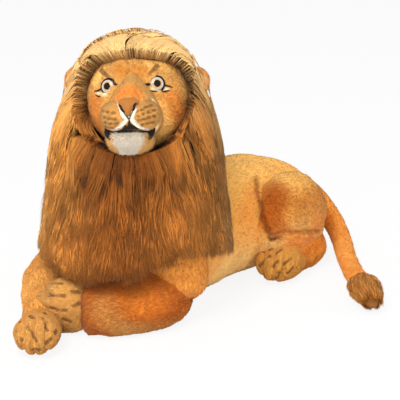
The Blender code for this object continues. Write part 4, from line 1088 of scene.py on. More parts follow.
# Front paws: padded mitts with four toes. The right one lies flat, and the left one lies on its side over
# the right wrist. Each has claw stripes and knuckle spots airbrushed on, and dark toe pads in front.
FRONT_PAW_LENGTH = 0.096
RIGHT_PAW_HALF_WIDTH, RIGHT_PAW_HALF_HEIGHT = 0.034, 0.028
LEFT_PAW_HALF_RISE, LEFT_PAW_HALF_DEPTH = 0.042, 0.027
RIGHT_PAW_PLAN = ((0.14, 0.13), (-0.13, -0.11), (-0.41, -0.35), (-0.67, -0.58))
LEFT_PAW_SHARES = ((0.14, -0.12, 0), (-0.07, 0.10, 0.01), (-0.27, 0.30, 0.05), (-0.44, 0.48, 0.10))
LEFT_PAW_TOP = (0.755, 0.656, 0)
FRONT_PAW_GOLD = (0.70, 0.345, 0.085)
right_wrist = forearm_forms[1]["path"][-1][:2]
left_wrist = np.append(forearm_forms[-1]["path"][-1][:2], LEFT_PAW_HALF_RISE)
right_paw_shares = np.array((0.84, 0.94, 1.04, 0.94))
left_paw_shares = np.array((0.80, 0.98, 1.02, 0.94))
right_paw_heights = right_paw_shares * RIGHT_PAW_HALF_HEIGHT
paw_forms = {
    1: tube(
        laid(right_wrist, FRONT_PAW_LENGTH, RIGHT_PAW_PLAN, right_paw_heights),
        right_paw_shares * RIGHT_PAW_HALF_WIDTH, right_paw_heights, (0.3, 0.5), toes=TOES,
    ),
    -1: tube(
        held(left_wrist, FRONT_PAW_LENGTH, LEFT_PAW_SHARES), left_paw_shares * LEFT_PAW_HALF_RISE,
        left_paw_shares * LEFT_PAW_HALF_DEPTH, (0.3, 0.5), top=LEFT_PAW_TOP, toes=TOES,
    ),
}
PAW_MARKS = {
    1: (
        ((-0.4241, -0.0040, 0.0394), (-0.4307, -0.0219, 0.0340), 0.0022),
        ((-0.4186, -0.0223, 0.0491), (-0.4222, -0.0447, 0.0346), 0.0022),
        ((-0.3930, -0.0246, 0.0541), (-0.3994, -0.0417, 0.0452), 0.0026),
        ((-0.4324, -0.0149, 0.0294), (-0.4311, -0.0195, 0.0224), 0.0020),
        ((-0.3970, -0.0040, 0.0540), (-0.4010, -0.0140, 0.0549), 0.0026),
        ((-0.3720, -0.0060, 0.0520), (-0.3780, -0.0150, 0.0536), 0.0022),
        ((-0.4087, 0.0061, 0.0474), (-0.4120, 0.0010, 0.0480), 0.0016),
        ((-0.4090, -0.0502, 0.0294), (-0.4015, -0.0504, 0.0330), 0.0034),
        ((-0.4250, -0.0405, 0.0195), (-0.4212, -0.0475, 0.0228), 0.0034),
        ((-0.3885, -0.0464, 0.0377), (-0.3825, -0.0441, 0.0379), 0.0032),
    ),
    -1: (
        ((-0.3464, 0.0118, 0.0682), (-0.3332, -0.0113, 0.0686), 0.0022),
        ((-0.3484, 0.0018, 0.0504), (-0.3348, -0.0163, 0.0478), 0.0022),
        ((-0.3376, -0.0122, 0.0346), (-0.3296, -0.0187, 0.0290), 0.0026),
        ((-0.3340, 0.0112, 0.0824), (-0.3274, -0.0015, 0.0837), 0.0014),
        ((-0.3156, 0.0, 0.0863), (-0.3106, -0.0078, 0.0836), 0.0014),
        ((-0.3221, -0.0171, 0.0733), (-0.3130, -0.0220, 0.0713), 0.0026),
        ((-0.3248, -0.0235, 0.0548), (-0.3180, -0.0270, 0.0566), 0.0028),
    ),
}
PAW_ROOMS = {
    1: ("forearm_right_plush",),
    -1: ("forearm_left_plush", "forearm_right_plush", "front_paw_right_plush"),
}
for side in (1, -1):
    label = SUFFIXES[side]
    paw = sewn(
        "front_paw_%s_plush" % label,
        skin_grid(paw_forms[side], 72, 96, 74 + side, 0.0006, 0.03, floor=True), paw_forms[side],
        PAW_ROOMS[side],
    )
    paw_dabs = [(a, b, radius * 0.8, 0.0018, CLAW_BROWN, 0.85) for a, b, radius in PAW_MARKS[side]]
    paw_dye = painted(FRONT_PAW_GOLD, paw_dabs)
    near = [*forearm_forms.values()] + ([paw_forms[1]] if side < 0 else [])
    paw_pile = pile_on(
        paw, 11000, 0.0045, 0.0012, flow_along(paw_forms[side]), paw_dye, 77 + side, clear=near
    )
    dress(paw, "lion", "front_paw_" + label, pale_plush, paw_dye, paw_pile)

# Muzzle: the bridge between the eyes and the snout below it, one padded piece of pale plush with a cream
# strip down each side, sewn round its edge to the face.
MUZZLE_LENGTH, MUZZLE_HALF_WIDTH, MUZZLE_HALF_HEIGHT = 0.100, 0.039, 0.058
MUZZLE_SHARES = ((0, 0, 0), (0, -0.33, -0.05), (0, -0.66, -0.08), (0, -1, -0.11))
WHITE, FELT_BLACK = (0.95, 0.86, 0.72), (0.012, 0.008, 0.006)
muzzle_form = tube(
    held(on_head(0, -0.45, -0.10), MUZZLE_LENGTH, MUZZLE_SHARES),
    np.array((0.90, 0.98, 1.02, 0.88)) * MUZZLE_HALF_WIDTH,
    np.array((0.95, 0.85, 0.70, 0.52)) * MUZZLE_HALF_HEIGHT,
    (0.15, 0.45), rings=12, egg=0.45, pose=head_pose,
)
MUZZLE_DABS = face_dabs(muzzle_form, [
    ((-0.012, 0.008), (0.008, 0.009), 0.006, 0.016, ORANGE, 0.75),
    ((0.0330, -0.0050), (0.0375, -0.021), 0.0026, 0.004, CREAM, 0.95),
    ((0.0375, -0.021), (0.0370, -0.036), 0.0028, 0.004, CREAM, 0.95),
    ((0.0370, -0.036), (0.0320, -0.048), 0.0034, 0.005, CREAM, 0.95),
    ((-0.0360, -0.008), (-0.0380, -0.024), 0.0026, 0.004, CREAM, 0.95),
    ((-0.0380, -0.024), (-0.0370, -0.042), 0.0030, 0.005, CREAM, 0.95),
    ((-0.0154, -0.0089), (-0.0115, -0.0162), 0.0014, 0.0014, WHITE, 0.95),
    ((-0.0115, -0.0162), (-0.0027, -0.0292), 0.0034, 0.0014, WHITE, 0.95),
    ((0.0113, -0.0084), (0.0080, -0.0168), 0.0014, 0.0014, WHITE, 0.95),
    ((0.0080, -0.0168), (0.0030, -0.0294), 0.0034, 0.0014, WHITE, 0.95),
    ((0.0, -0.0370), (0.0, -0.0400), 0.0030, 0.0008, FELT_BLACK, 1.0),
    ((-0.0060, -0.0400), (0.0050, -0.0400), 0.0030, 0.0008, FELT_BLACK, 1.0),
    ((-0.0120, -0.0425), (0.0110, -0.0425), 0.0040, 0.0008, FELT_BLACK, 1.0),
])
SNOUT_DENTS = face_dabs(muzzle_form, [
    ((0.0110, 0.0095), (0.0155, 0.0040), 0.0020, 0.0022),
    ((0.0155, 0.0040), (0.0165, -0.0030), 0.0020, 0.0022),
    ((-0.0130, 0.0085), (-0.0175, 0.0030), 0.0020, 0.0022),
    ((-0.0175, 0.0030), (-0.0185, -0.0040), 0.0020, 0.0022),
    ((-0.0100, 0.0015), (0.0080, 0.0025), 0.0020, 0.0022),
])
muzzle_dye = painted(FACE_GOLD, MUZZLE_DABS)


def snout_flow(points):
    """Up and back from the nose."""
    return points - face_points((0, -0.15, -0.03))[0]


muzzle = sewn(
    "muzzle_plush", skin_grid(muzzle_form, 110, 120, 81, 0.0005, 0.03, dents=SNOUT_DENTS), muzzle_form,
    ("head_plush",),
)

# Whisker pads: two puffed balls beside the nose, speckled brown in rows where whiskers would grow, with
# a white lip along their inner and lower edges.
PAD_HALVES = (0.021, 0.026, 0.021)
PAD_GOLD = (0.72, 0.365, 0.095)
HEAD_SUFFIXES = {1: "left", -1: "right"}
pad_forms = {side: ball(on_head(0.285 * side, -1.42, -0.32), PAD_HALVES, pose=head_pose) for side in (1, -1)}
PAD_SPOTS = {
    1: (
        (0.0122, -0.0198), (0.0197, -0.0172), (0.0253, -0.0138), (0.0306, -0.0119), (0.0136, -0.0255),
        (0.0211, -0.0236), (0.0282, -0.0210), (0.0348, -0.0184), (0.0140, -0.0312), (0.0208, -0.0299),
        (0.0279, -0.0281), (0.0355, -0.0262), (0.0184, -0.0377), (0.0257, -0.0365), (0.0327, -0.0347),
    ),
    -1: (
        (-0.0356, -0.0168), (-0.0290, -0.0184), (-0.0203, -0.0201), (-0.0340, -0.0254), (-0.0264, -0.0277),
        (-0.0192, -0.0284), (-0.0331, -0.0325), (-0.0256, -0.0344), (-0.0170, -0.0344), (-0.0328, -0.0390),
        (-0.0252, -0.0407), (-0.0180, -0.0402),
    ),
}
for side in (1, -1):
    label = HEAD_SUFFIXES[side]
    larger = ("head_plush", "muzzle_plush") + (("whisker_pad_left_plush",) if side < 0 else ())
    pad = sewn(
        "whisker_pad_%s_plush" % label, skin_grid(pad_forms[side], 44, 52, 84 + side, 0.0004, 0.02),
        pad_forms[side], larger,
    )
    pad_dye = painted(PAD_GOLD, face_dabs(pad_forms[side], [
        ((0.014 * side, -0.004), (0.030 * side, -0.006), 0.004, 0.008, FACE_GOLD, 0.9),
        ((0.0060 * side, -0.0300), (0.0110 * side, -0.0370), 0.0040, 0.0026, WHITE, 0.95),
        ((0.0110 * side, -0.0370), (0.0240 * side, -0.0440), 0.0024, 0.0026, WHITE, 0.9),
        ((0.0085 * side, -0.0170), (0.0070 * side, -0.0250), 0.0024, 0.0020, WHITE, 0.95),
    ] + [
        ((x - 0.0012, z - 0.0002), (x + 0.0012, z + 0.0003 * side), 0.0013, 0.0018, CLAW_BROWN, 0.8)
        for x, z in PAD_SPOTS[side]
    ]))
    pad_pile = pile_on(
        pad, 4500, 0.0035, 0.0009, snout_flow, pad_dye, 87 + side,
        clear=[muzzle_form] + ([pad_forms[1]] if side < 0 else []), floor=False, lean=0.9,
    )
    dress(pad, "lion", "whisker_pad_" + label, pale_plush, pad_dye, pad_pile)
muzzle_pile = pile_on(
    muzzle, 9000, 0.0035, 0.0009, snout_flow, muzzle_dye, 90, clear=[head_form], floor=False, lean=1.1
)
dress(muzzle, "lion", "muzzle", pale_plush, muzzle_dye, muzzle_pile)

# Chin and mouth: a tuft of longer white fur under a mouth of black felt, which is glued in behind it.
# Felt strips end the mouth at its two corners, and plush lips edge the pads above it.
JAW_GOLD, LIP_CREAM = np.array((0.88, 0.47, 0.13)), (0.92, 0.80, 0.60)
MOUTH_CORNERS = (
    ((-0.0375, -0.1060, -0.0430), (-0.0355, -0.1100, -0.0480), (-0.0330, -0.1100, -0.0535),
     (-0.0305, -0.1060, -0.0590)),
    ((0.0325, -0.1010, -0.0425), (0.0300, -0.1070, -0.0480), (0.0270, -0.1090, -0.0545),
     (0.0240, -0.1060, -0.0610)),
)
MOUTH_CORNER_WIDTHS = (0.0022, 0.0040, 0.0040, 0.0022)
LIPS = (
    (((-0.0150, -0.0095), (-0.0120, -0.0160), (-0.0085, -0.0230), (-0.0035, -0.0290)),
     (0.0012, 0.0020, 0.0030, 0.0030)),
    (((0.0118, -0.0090), (0.0095, -0.0160), (0.0066, -0.0230), (0.0035, -0.0290)),
     (0.0012, 0.0018, 0.0028, 0.0030)),
    (((-0.0030, -0.0290), (-0.0085, -0.0345), (-0.0150, -0.0390), (-0.0230, -0.0420)),
     (0.0026, 0.0034, 0.0026, 0.0014)),
    (((0.0034, -0.0290), (0.0080, -0.0350), (0.0135, -0.0405), (0.0210, -0.0435)),
     (0.0026, 0.0034, 0.0026, 0.0014)),
)
LIP_HALF_HEIGHT, FELT_REACH = 0.0018, 0.8
mouth_form = ball(on_head(-0.05, -1.21, -0.57), (0.0365, 0.021, 0.0135), pose=head_pose)
chin_form = ball(on_head(-0.05, -1.18, -0.79), (0.030, 0.027, 0.0185), pose=head_pose)
CHIN_DABS = face_dabs(chin_form, [((-0.02, -0.076), (0.02, -0.076), 0.002, 0.008, CREAM, 0.7)])
black_felt = fibre_material("black felt", 0.85, 0.9, 0.1, 0.3, 90, 1200, sheen=0.1, bump=0.5)
white_fur = fibre_material("white fur", 0.8, 0.90, 0.26, 0.08, 40, 700, sheen=0.5, specular=0.15)
black_dye = painted(FELT_BLACK)
pad_names = ("whisker_pad_left_plush", "whisker_pad_right_plush")


def face_tube(path, widths, half_height):
    """A flat strip through four points of the head's own frame, with its half width at each."""
    heights = np.full(4, half_height)
    return tube(path, widths, heights, (0.2, 0.2), rings=8, top=(0, -1, 0), pose=head_pose)


corner_forms = [
    {**face_tube(places, MOUTH_CORNER_WIDTHS, 0.0022), "rounds": (0.2, 0.25)} for places in MOUTH_CORNERS
]


def white_dye(points):
    """Off-white, creamier towards the throat and gold where it meets the jaw."""
    across, _, up = placed(points, head_pose, inverse=True).T
    across = (across + 0.006) * (1 + 0.5 * smooth_step(0.058, 0.080, -up)) - 0.006
    jaw = (smooth_step(0.012, 0.022, across) + smooth_step(0.022, 0.030, -across))[:, None]
    return paint(points, WHITE, CHIN_DABS) * (1 - jaw) + JAW_GOLD * jaw


chin = sewn(
    "chin_tuft_skin", skin_grid(chin_form, 40, 48, 91, 0.0005, 0.02), chin_form,
    ("head_plush", "muzzle_plush", *pad_names),
)
chin_pile = pile_on(
    chin, 8000, 0.0095, 0.0011, -head_pose[:3, 2] - 0.6 * head_pose[:3, 1], white_dye, 92,
    clear=[head_form, muzzle_form, *corner_forms], floor=False, lean=0.8,
)
dress(chin, "lion", "chin_tuft", white_fur, white_dye, chin_pile)
mouth = sewn(
    "mouth_felt", skin_grid(mouth_form, 40, 56, 93, 0.0003, 0.02), mouth_form,
    ("head_plush", "muzzle_plush", "chin_tuft_skin", *pad_names),
)
dress(mouth, "lion", "mouth_lining", black_felt, black_dye)


def strips(name, forms, dye, material):
    """Several thin strips or threads as one piece."""
    rows, columns = 24, 12
    points, faces = [], []
    for form in forms:
        faces.append(grid_faces(rows, columns) + sum(len(part) for part in points))
        points.append(grid_points(tube_grid(form, rows, columns)))
    points, faces = np.concatenate(points), np.concatenate(faces)
    piece = add_mesh(name, points, faces)
    set_marks(piece, dye(points), np.full(len(points), SKIN_TONE), np.full(len(points), FELT_REACH))
    piece.data.materials.append(material)
    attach(piece, "lion")


def face_strip(places, widths, half_height, forms, proud=0.0):
    """A strip through some (x, z) of the head's own frame, half sunk in the forms that it lies on."""
    path = np.array([on_face(x, z, *forms) for x, z in places])
    path = (path - head_pose[:3, 3]) @ head_pose[:3, :3] + (0, -proud, 0)
    return face_tube(path, widths, half_height)


snout_forms = [muzzle_form, *pad_forms.values()]
lip_forms = [face_strip(*lip, LIP_HALF_HEIGHT, snout_forms) for lip in LIPS]
strips("mouth_corner_felt", corner_forms, black_dye, black_felt)
strips("eye_line_threads", eye_line_forms, black_dye, black_felt)
strips("lip_plush", lip_forms, painted(LIP_CREAM), white_fur)

# Nose: a small tan velvet pad sewn on between the whisker pads, wide above and narrow below, with a
# black felt crescent let in under each wing for a nostril.
NOSE_HEIGHT, NOSE_HALF_WIDTH, NOSE_HALF_DEPTH = 0.025, 0.018, 0.010
NOSE_SHARES = ((0, 0.10, 0), (0, -0.08, -0.33), (0, -0.15, -0.66), (0, 0, -1))
NOSE_TAN = (0.39, 0.146, 0.031)
NOSTRILS = (
    (((-0.0140, -0.0080), (-0.0100, -0.0112), (-0.0078, -0.0160), (-0.0060, -0.0205)),
     (0.0014, 0.0030, 0.0030, 0.0008)),
    (((0.0122, -0.0068), (0.0090, -0.0100), (0.0074, -0.0150), (0.0060, -0.0195)),
     (0.0012, 0.0024, 0.0024, 0.0008)),
    (((-0.0066, -0.0190), (-0.0050, -0.0228), (-0.0025, -0.0258), (0.0002, -0.0300)),
     (0.0008, 0.0008, 0.0008, 0.0008)),
    (((0.0064, -0.0185), (0.0048, -0.0222), (0.0026, -0.0254), (0.0002, -0.0300)),
     (0.0008, 0.0008, 0.0008, 0.0008)),
    (((0.0002, -0.0280), (0.0002, -0.0300), (0.0001, -0.0325), (0.0, -0.0360)),
     (0.0008, 0.0010, 0.0013, 0.0024)),
)
NOSTRIL_HALF_HEIGHT, NOSTRIL_PROUD = 0.0016, 0.0004
nose_form = tube(
    held(on_head(0, -1.62, 0), NOSE_HEIGHT, NOSE_SHARES),
    np.array((1.0, 0.80, 0.36, 0.22)) * NOSE_HALF_WIDTH,
    np.array((0.8, 1.0, 0.9, 0.6)) * NOSE_HALF_DEPTH,
    (0.35, 0.3), rings=10, top=(0, -1, 0), pose=head_pose,
)
nose_velvet = fibre_material(
    "nose velvet", 0.8, 0.85, 0.1, 0.22, 160, 2200, sheen=0.25, bump=0.35, specular=0.1
)
nose = sewn(
    "nose_velvet", skin_grid(nose_form, 48, 56, 95, 0.0002, 0.01), nose_form, ("muzzle_plush", *pad_names)
)
dress(nose, "lion", "nose", nose_velvet, painted(NOSE_TAN))
nostril_forms = [
    face_strip(*line, NOSTRIL_HALF_HEIGHT, [*snout_forms, nose_form], NOSTRIL_PROUD) for line in NOSTRILS
]
strips("nostril_felt", nostril_forms, black_dye, black_felt)

# Eyes: domed plastic eyes on shanks, 22 mm across, which pass through the face and lock in washers.
# A black pupil and an amber ring lie in a pale iris with fine lines, and a black felt disc rims each eye.
EYE_RADIUS, EYE_DOME, EYE_RIM, EYE_SINK = 0.011, 0.0052, 0.0012, 0.0020
SHANK_RADIUS, SHANK_LENGTH = 0.003, 0.014
EYE_PLACES = {1: (0.445, 0.27), -1: (-0.48, 0.25)}
EYE_SIDES, DISC_SIDES, DOME_STEPS = 72, 48, 26
DISC_PROFILE = (
    (0, -0.0016), (0.0116, -0.0016), (0.0129, -0.0004), (0.0131, 0.0008), (0.0125, 0.0019),
    (0.0116, 0.0020), (0.0108, 0.0012), (0, 0.0010),
)


def turned_grid(profile, axis, start, sides):
    """A profile of (radius, height) pairs turned round an axis through a start point."""
    across = unit(np.cross(axis, (0.0, 0.0, 1.0)))
    other = np.cross(axis, across)
    turn = 2 * np.pi * np.arange(sides) / sides
    ring = across * np.cos(turn)[:, None] + other * np.sin(turn)[:, None]
    radius, height = np.array(profile, float).T
    return start + ring[None] * radius[:, None, None] + np.asarray(axis)[None, None] * height[:, None, None]


def turned_eye_part(name, profile, side, sides):
    """A profile turned round the way that an eye looks, with its foot sunk in the face."""
    x, z = EYE_PLACES[side]
    seat = on_head(x, -math.sqrt(1 - x * x - z * z), z)
    aim = unit(np.array((0.30 * side, -0.94, 0.14)))
    points = grid_points(placed(turned_grid(profile, aim, seat - aim * EYE_SINK, sides), head_pose))
    return add_mesh(name, points, grid_faces(len(profile) - 1, sides)), points


def eye_material():
    """Glossy plastic, coloured by the distance from the eye's middle, with fine lines round the iris."""
    material = bpy.data.materials.new("eye plastic")
    material.use_nodes = True
    tree = material.node_tree
    shader = tree.nodes["Principled BSDF"]
    ring = tree.nodes.new("ShaderNodeAttribute")
    ring.attribute_name = "ring"
    spoke = tree.nodes.new("ShaderNodeAttribute")
    spoke.attribute_name = "spoke"
    rings = tree.nodes.new("ShaderNodeValToRGB")
    stops = (
        (0.0, (0.003, 0.002, 0.002)), (0.455, (0.003, 0.002, 0.002)), (0.480, (0.20, 0.09, 0.03)),
        (0.55, (0.76, 0.40, 0.11)), (0.605, (0.50, 0.28, 0.11)), (0.645, (0.42, 0.40, 0.355)),
        (0.80, (0.52, 0.50, 0.455)), (0.860, (0.36, 0.35, 0.32)), (0.885, (0.004, 0.003, 0.003)),
    )
    for place, colour in stops[:2]:
        rings.color_ramp.elements[0 if place == 0 else 1].position = place
        rings.color_ramp.elements[0 if place == 0 else 1].color = (*colour, 1)
    for place, colour in stops[2:]:
        rings.color_ramp.elements.new(place).color = (*colour, 1)
    tree.links.new(ring.outputs["Fac"], rings.inputs["Fac"])
    lines = tree.nodes.new("ShaderNodeTexNoise")
    lines.noise_dimensions = "1D"
    lines.inputs["Scale"].default_value = 1.0
    lines.inputs["Detail"].default_value = 2
    spokes = link_value(tree, "MULTIPLY", spoke.outputs["Fac"], 70.0)
    tree.links.new(spokes, lines.inputs["W"])
    shade = link_value(tree, "MULTIPLY_ADD", lines.outputs["Fac"], 0.7, 0.66)
    tinted = tree.nodes.new("ShaderNodeVectorMath")
    tinted.operation = "SCALE"
    tree.links.new(rings.outputs["Color"], tinted.inputs[0])
    tree.links.new(shade, tinted.inputs["Scale"])
    tree.links.new(tinted.outputs[0], shader.inputs["Base Color"])
    shader.inputs["Roughness"].default_value = 0.12
    shader.inputs["Specular IOR Level"].default_value = 0.2
    shader.inputs["Coat Weight"].default_value = 0.3
    shader.inputs["Coat Roughness"].default_value = 0.03
    return material


eye_plastic = eye_material()
dome_turns = np.linspace(0, np.pi / 2, DOME_STEPS)[:-1]
EYE_PROFILE = [
    (0, -SHANK_LENGTH), (SHANK_RADIUS, -SHANK_LENGTH), (SHANK_RADIUS, -0.0006), (SHANK_RADIUS + 0.0008, 0),
    (EYE_RADIUS - 0.0004, 0), (EYE_RADIUS, 0.0004),
    *((EYE_RADIUS * math.cos(turn), EYE_RIM + EYE_DOME * math.sin(turn)) for turn in dome_turns),
    (0, EYE_RIM + EYE_DOME),
]
eye_radii, eye_heights = np.array(EYE_PROFILE).T
ring_share = np.where(eye_heights >= 0.0004, eye_radii / EYE_RADIUS, 1.0)
spoke_turn = np.tile(np.abs(np.arange(EYE_SIDES) / EYE_SIDES - 0.5) * 2, len(EYE_PROFILE) - 2)
eye_marks = {
    "ring": np.concatenate([[1.0], np.repeat(ring_share[1:-1], EYE_SIDES), [0.0]]),
    "spoke": np.concatenate([[0.0], spoke_turn, [0.0]]),
}
for side in (1, -1):
    label = HEAD_SUFFIXES[side]
    eye, _ = turned_eye_part("eye_%s_dome" % label, EYE_PROFILE, side, EYE_SIDES)
    for name, values in eye_marks.items():
        eye.data.attributes.new(name, "FLOAT", "POINT").data.foreach_set("value", values.astype(np.float32))
    eye.data.materials.append(eye_plastic)
    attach(eye, "lion")
    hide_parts("eye_" + label)
    disc, points = turned_eye_part("eye_%s_felt_disc" % label, DISC_PROFILE, side, DISC_SIDES)
    set_marks(disc, black_dye(points), np.full(len(points), SKIN_TONE), np.full(len(points), FELT_REACH))
    disc.data.materials.append(black_felt)
    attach(disc, "lion")

# Eye washers: pressed discs of off-white plastic that lock the shanks from inside the head. They are not
# seen, and keep the shape of their solids.
washer_plastic = bpy.data.materials.new("washer plastic")
washer_plastic.use_nodes = True
washer_tree = washer_plastic.node_tree
washer_place = washer_tree.nodes.new("ShaderNodeTexCoord")
washer_noise = washer_tree.nodes.new("ShaderNodeTexNoise")
washer_noise.inputs["Scale"].default_value = 350
washer_tint = washer_tree.nodes.new("ShaderNodeMix")
washer_tint.data_type = "RGBA"
washer_tint.inputs["A"].default_value = (0.70, 0.70, 0.66, 1)
washer_tint.inputs["B"].default_value = (0.80, 0.80, 0.77, 1)
washer_tree.links.new(washer_place.outputs["Object"], washer_noise.inputs["Vector"])
washer_tree.links.new(washer_noise.outputs["Fac"], washer_tint.inputs["Factor"])
washer_tree.links.new(
    washer_tint.outputs["Result"], washer_tree.nodes["Principled BSDF"].inputs["Base Color"]
)
washer_tree.nodes["Principled BSDF"].inputs["Roughness"].default_value = 0.4
for label in ("left", "right"):
    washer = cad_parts["eye_washer_" + label]
    washer.data.materials.clear()
    washer.data.materials.append(washer_plastic)

# Ears: padded flaps of pale plush at the edges of the mane, with a rolled edge airbrushed orange and the
# front drawn in with thread. Each is sewn to the head along its rolled root.
EAR_HEIGHT, EAR_REACH, EAR_HALF_THICKNESS, EAR_ROOT_RADIUS = 0.042, 0.033, 0.0068, 0.0072
EAR_LEAN = math.radians(12)
EAR_ROOTS = {1: on_head(1.05, 0.05, 0.28), -1: on_head(-1.13, 0.05, 0.38)}
EAR_GOLD = (1.0, 0.64, 0.26)
EAR_CUP_PLACES = ((-0.007, 0.013), (0.008, 0.013))
EAR_RIM_PLACES = ((0.019, 0.004), (0.016, 0.016), (0.004, 0.023), (-0.012, 0.019))
ear_forms = {}
for side in (1, -1):
    label = HEAD_SUFFIXES[side]
    along_root = np.array((-math.sin(EAR_LEAN) * side, 0, math.cos(EAR_LEAN)))
    outwards = np.array((math.cos(EAR_LEAN) * side, 0, math.sin(EAR_LEAN)))
    reaches = np.array((0.36, 0.46, 0.50, 0.42)) * EAR_REACH
    path = (
        EAR_ROOTS[side] + along_root * (EAR_HEIGHT * (np.arange(4) / 3 - 1 / 2))[:, None]
        + outwards * (reaches - EAR_ROOT_RADIUS)[:, None]
    )
    ear_forms[side] = tube(
        path, reaches, np.array((0.85, 1.0, 1.0, 0.85)) * EAR_HALF_THICKNESS, (0.45, 0.45), rings=12,
        top=(0, 1, 0), pose=head_pose,
    )
    cup, rim = (
        [
            placed(EAR_ROOTS[side] + along_root * up + outwards * out + (0, ahead, 0), head_pose)
            for up, out in places
        ]
        for places, ahead in ((EAR_CUP_PLACES, -0.007), (EAR_RIM_PLACES, 0))
    )
    ear = sewn(
        "ear_%s_plush" % label,
        skin_grid(ear_forms[side], 64, 72, 101 + side, 0.0003, 0.02, dents=along(cup, 0.0045, 0.0085)),
        ear_forms[side],
    )
    ear_dye = painted(EAR_GOLD, along(rim, 0.0022, 0.003, ORANGE, 0.6))
    ear_pile = pile_on(
        ear, 4500, 0.0036, 0.0010, placed(outwards, head_pose) - head_pose[:3, 3], ear_dye, 104 + side,
        floor=False, lean=1.1,
    )
    dress(ear, "ear_" + label, "ear_" + label, pale_plush, ear_dye, ear_pile)

# Mane: five panels of long fur on a cloth backing, sewn to each other edge to edge round the head: a bib
# under the chin, two sides, a nape and a crown. The hair fans from the hairline, and then hangs.
MANE_RADIUS, MANE_BASE, MANE_HEIGHT = 0.156, 0.045, 0.34
MANE_AXIS = on_torso(-0.3588, -0.034, 0)
MANE_LEAN = np.array((0.004, -0.005, 0))
MANE_RADIUS_SHARES = (0.965, 0.958, 0.933, 0.893, 0.86, 0.82, 0.72, 0.58)
MANE_HEM_SHARES = (0.12, 0.21, 0.22, 0.18, 0.36, 0.385, 0.36, 0.22, 0.19, 0.19, 0.19, 0.10, 0.12)
CROWN_BASE = MANE_BASE + MANE_HEIGHT
CROWN_RADIUS, CROWN_HEIGHT = MANE_RADIUS * MANE_RADIUS_SHARES[-1], 0.060
BIB_EDGE, NAPE_EDGE = math.radians(50), math.radians(120)
FACE_WAY = HEAD_TURN - math.pi / 2
BACKING_INSET, BACKING_THICKNESS, CROWN_LIFT = 0.014, 0.030, 0.0006
MANE_GOLD, MANE_EDGE_GOLD = np.array((0.84, 0.335, 0.060)), np.array((0.74, 0.37, 0.115))
# The crown's straw: its own pale colour, raised further as a painted highlight on top.
BIB_BROWN, CROWN_STRAW_AND_HIGHLIGHT = np.array((0.46, 0.142, 0.018)), np.array((1.02, 0.64, 0.25))
# Painted light: the toy's right side of the mane, where the lamp falls, is paler by these shares.
RIGHT_SIDE_PAINTED_LIGHT = np.array((0.12, 0.26, 0.42))
# Painted shade under the chin: the first shares darken the bib there. The second darken it towards its lower
# edge.
THROAT_SHADE_DARKER, HEM_DARKER = np.array((0.60, 0.66, 0.80)), np.array((0.68, 0.75, 0.88))
MANE_LOCKS, MANE_HAIR_WIDTHS = 260, np.array((0.0016, 0.0022, 0.0019, 0.0012, 0.0))
HAIR_REACH = np.append(np.repeat((0.0, 0.35, 0.7, 0.9), 3), 1.0)


def mane_radius(bearing, share):
    """The mane's radius at a bearing from the face's way and a share of its height; its back is flatter."""
    backwards = np.maximum(0, np.cos(FACE_WAY + bearing))
    return MANE_RADIUS * curve_through(MANE_RADIUS_SHARES, share) * (1 - 0.22 * backwards ** 6)


def mane_place(bearing, radius, height):
    """A point of the mane from its bearing, radius and height, about the leaning axis."""
    turn = FACE_WAY + bearing
    lean = MANE_LEAN * np.clip((height - MANE_BASE) / MANE_HEIGHT, 0, 1)[..., None]
    flat = np.stack([radius * np.cos(turn), radius * np.sin(turn), height], axis=-1)
    return MANE_AXIS + lean + flat


def hem_height(bearing):
    """The height of the mane's lower edge at a bearing."""
    keys = np.array(MANE_HEM_SHARES)
    return MANE_BASE + MANE_HEIGHT * curve_through(keys, (bearing / (2 * np.pi)) % 1)


def mane_envelope(points):
    """The level of points over the mane's outline, the way out of it, and their bearings."""
    lean = MANE_LEAN * np.clip((points[:, 2] - MANE_BASE) / MANE_HEIGHT, 0, 1)[:, None]
    offset = points - MANE_AXIS - lean
    bearing = (np.arctan2(offset[:, 1], offset[:, 0]) - FACE_WAY + np.pi) % (2 * np.pi) - np.pi
    radius = np.hypot(offset[:, 0], offset[:, 1])
    side_radius = mane_radius(bearing, (points[:, 2] - MANE_BASE) / MANE_HEIGHT)
    side_out = unit(np.column_stack([offset[:, :2], np.zeros(len(points))]))
    side_out[:, 2] = 0.5 * smooth_step(0.18, 0.385, points[:, 2])
    rise = np.maximum(points[:, 2] - CROWN_BASE, 0)
    rho = np.sqrt((radius / CROWN_RADIUS) ** 2 + (rise / CROWN_HEIGHT) ** 2)
    reach = np.hypot(radius, rise)
    top_out = np.column_stack([offset[:, :2] / CROWN_RADIUS ** 2, rise / CROWN_HEIGHT ** 2])
    on_top = points[:, 2] > CROWN_BASE
    level = np.where(on_top, reach * (1 - 1 / np.maximum(rho, 1e-6)), radius - side_radius)
    out = unit(np.where(on_top[:, None], top_out, side_out))
    return level, out, bearing


def panel_backing(first, last, top_share):
    """A curved panel of backing between two bearings: its outer skin upwards, and its inner one down."""
    columns, rows = max(8, round(math.degrees(last - first) / 3)), 26
    t = np.linspace(0, 1, rows + 1)[None]
    bearing = np.linspace(first + 0.002, last - 0.002, columns + 1)[:, None]
    hem = ((hem_height(bearing) - MANE_BASE) / MANE_HEIGHT) + 0.03
    share = hem + (top_share - hem) * t
    outer = mane_radius(bearing, share) - BACKING_INSET
    height = MANE_BASE + MANE_HEIGHT * share
    bearing = bearing + 0 * share
    loops = np.concatenate([
        mane_place(bearing, outer, height),
        mane_place(bearing, outer - BACKING_THICKNESS, height)[:, ::-1],
    ], axis=1)
    ends = loops[:1].mean(axis=1, keepdims=True), loops[-1:].mean(axis=1, keepdims=True)
    size = loops.shape[1]
    return np.concatenate([np.repeat(ends[0], size, 1), loops, np.repeat(ends[1], size, 1)])


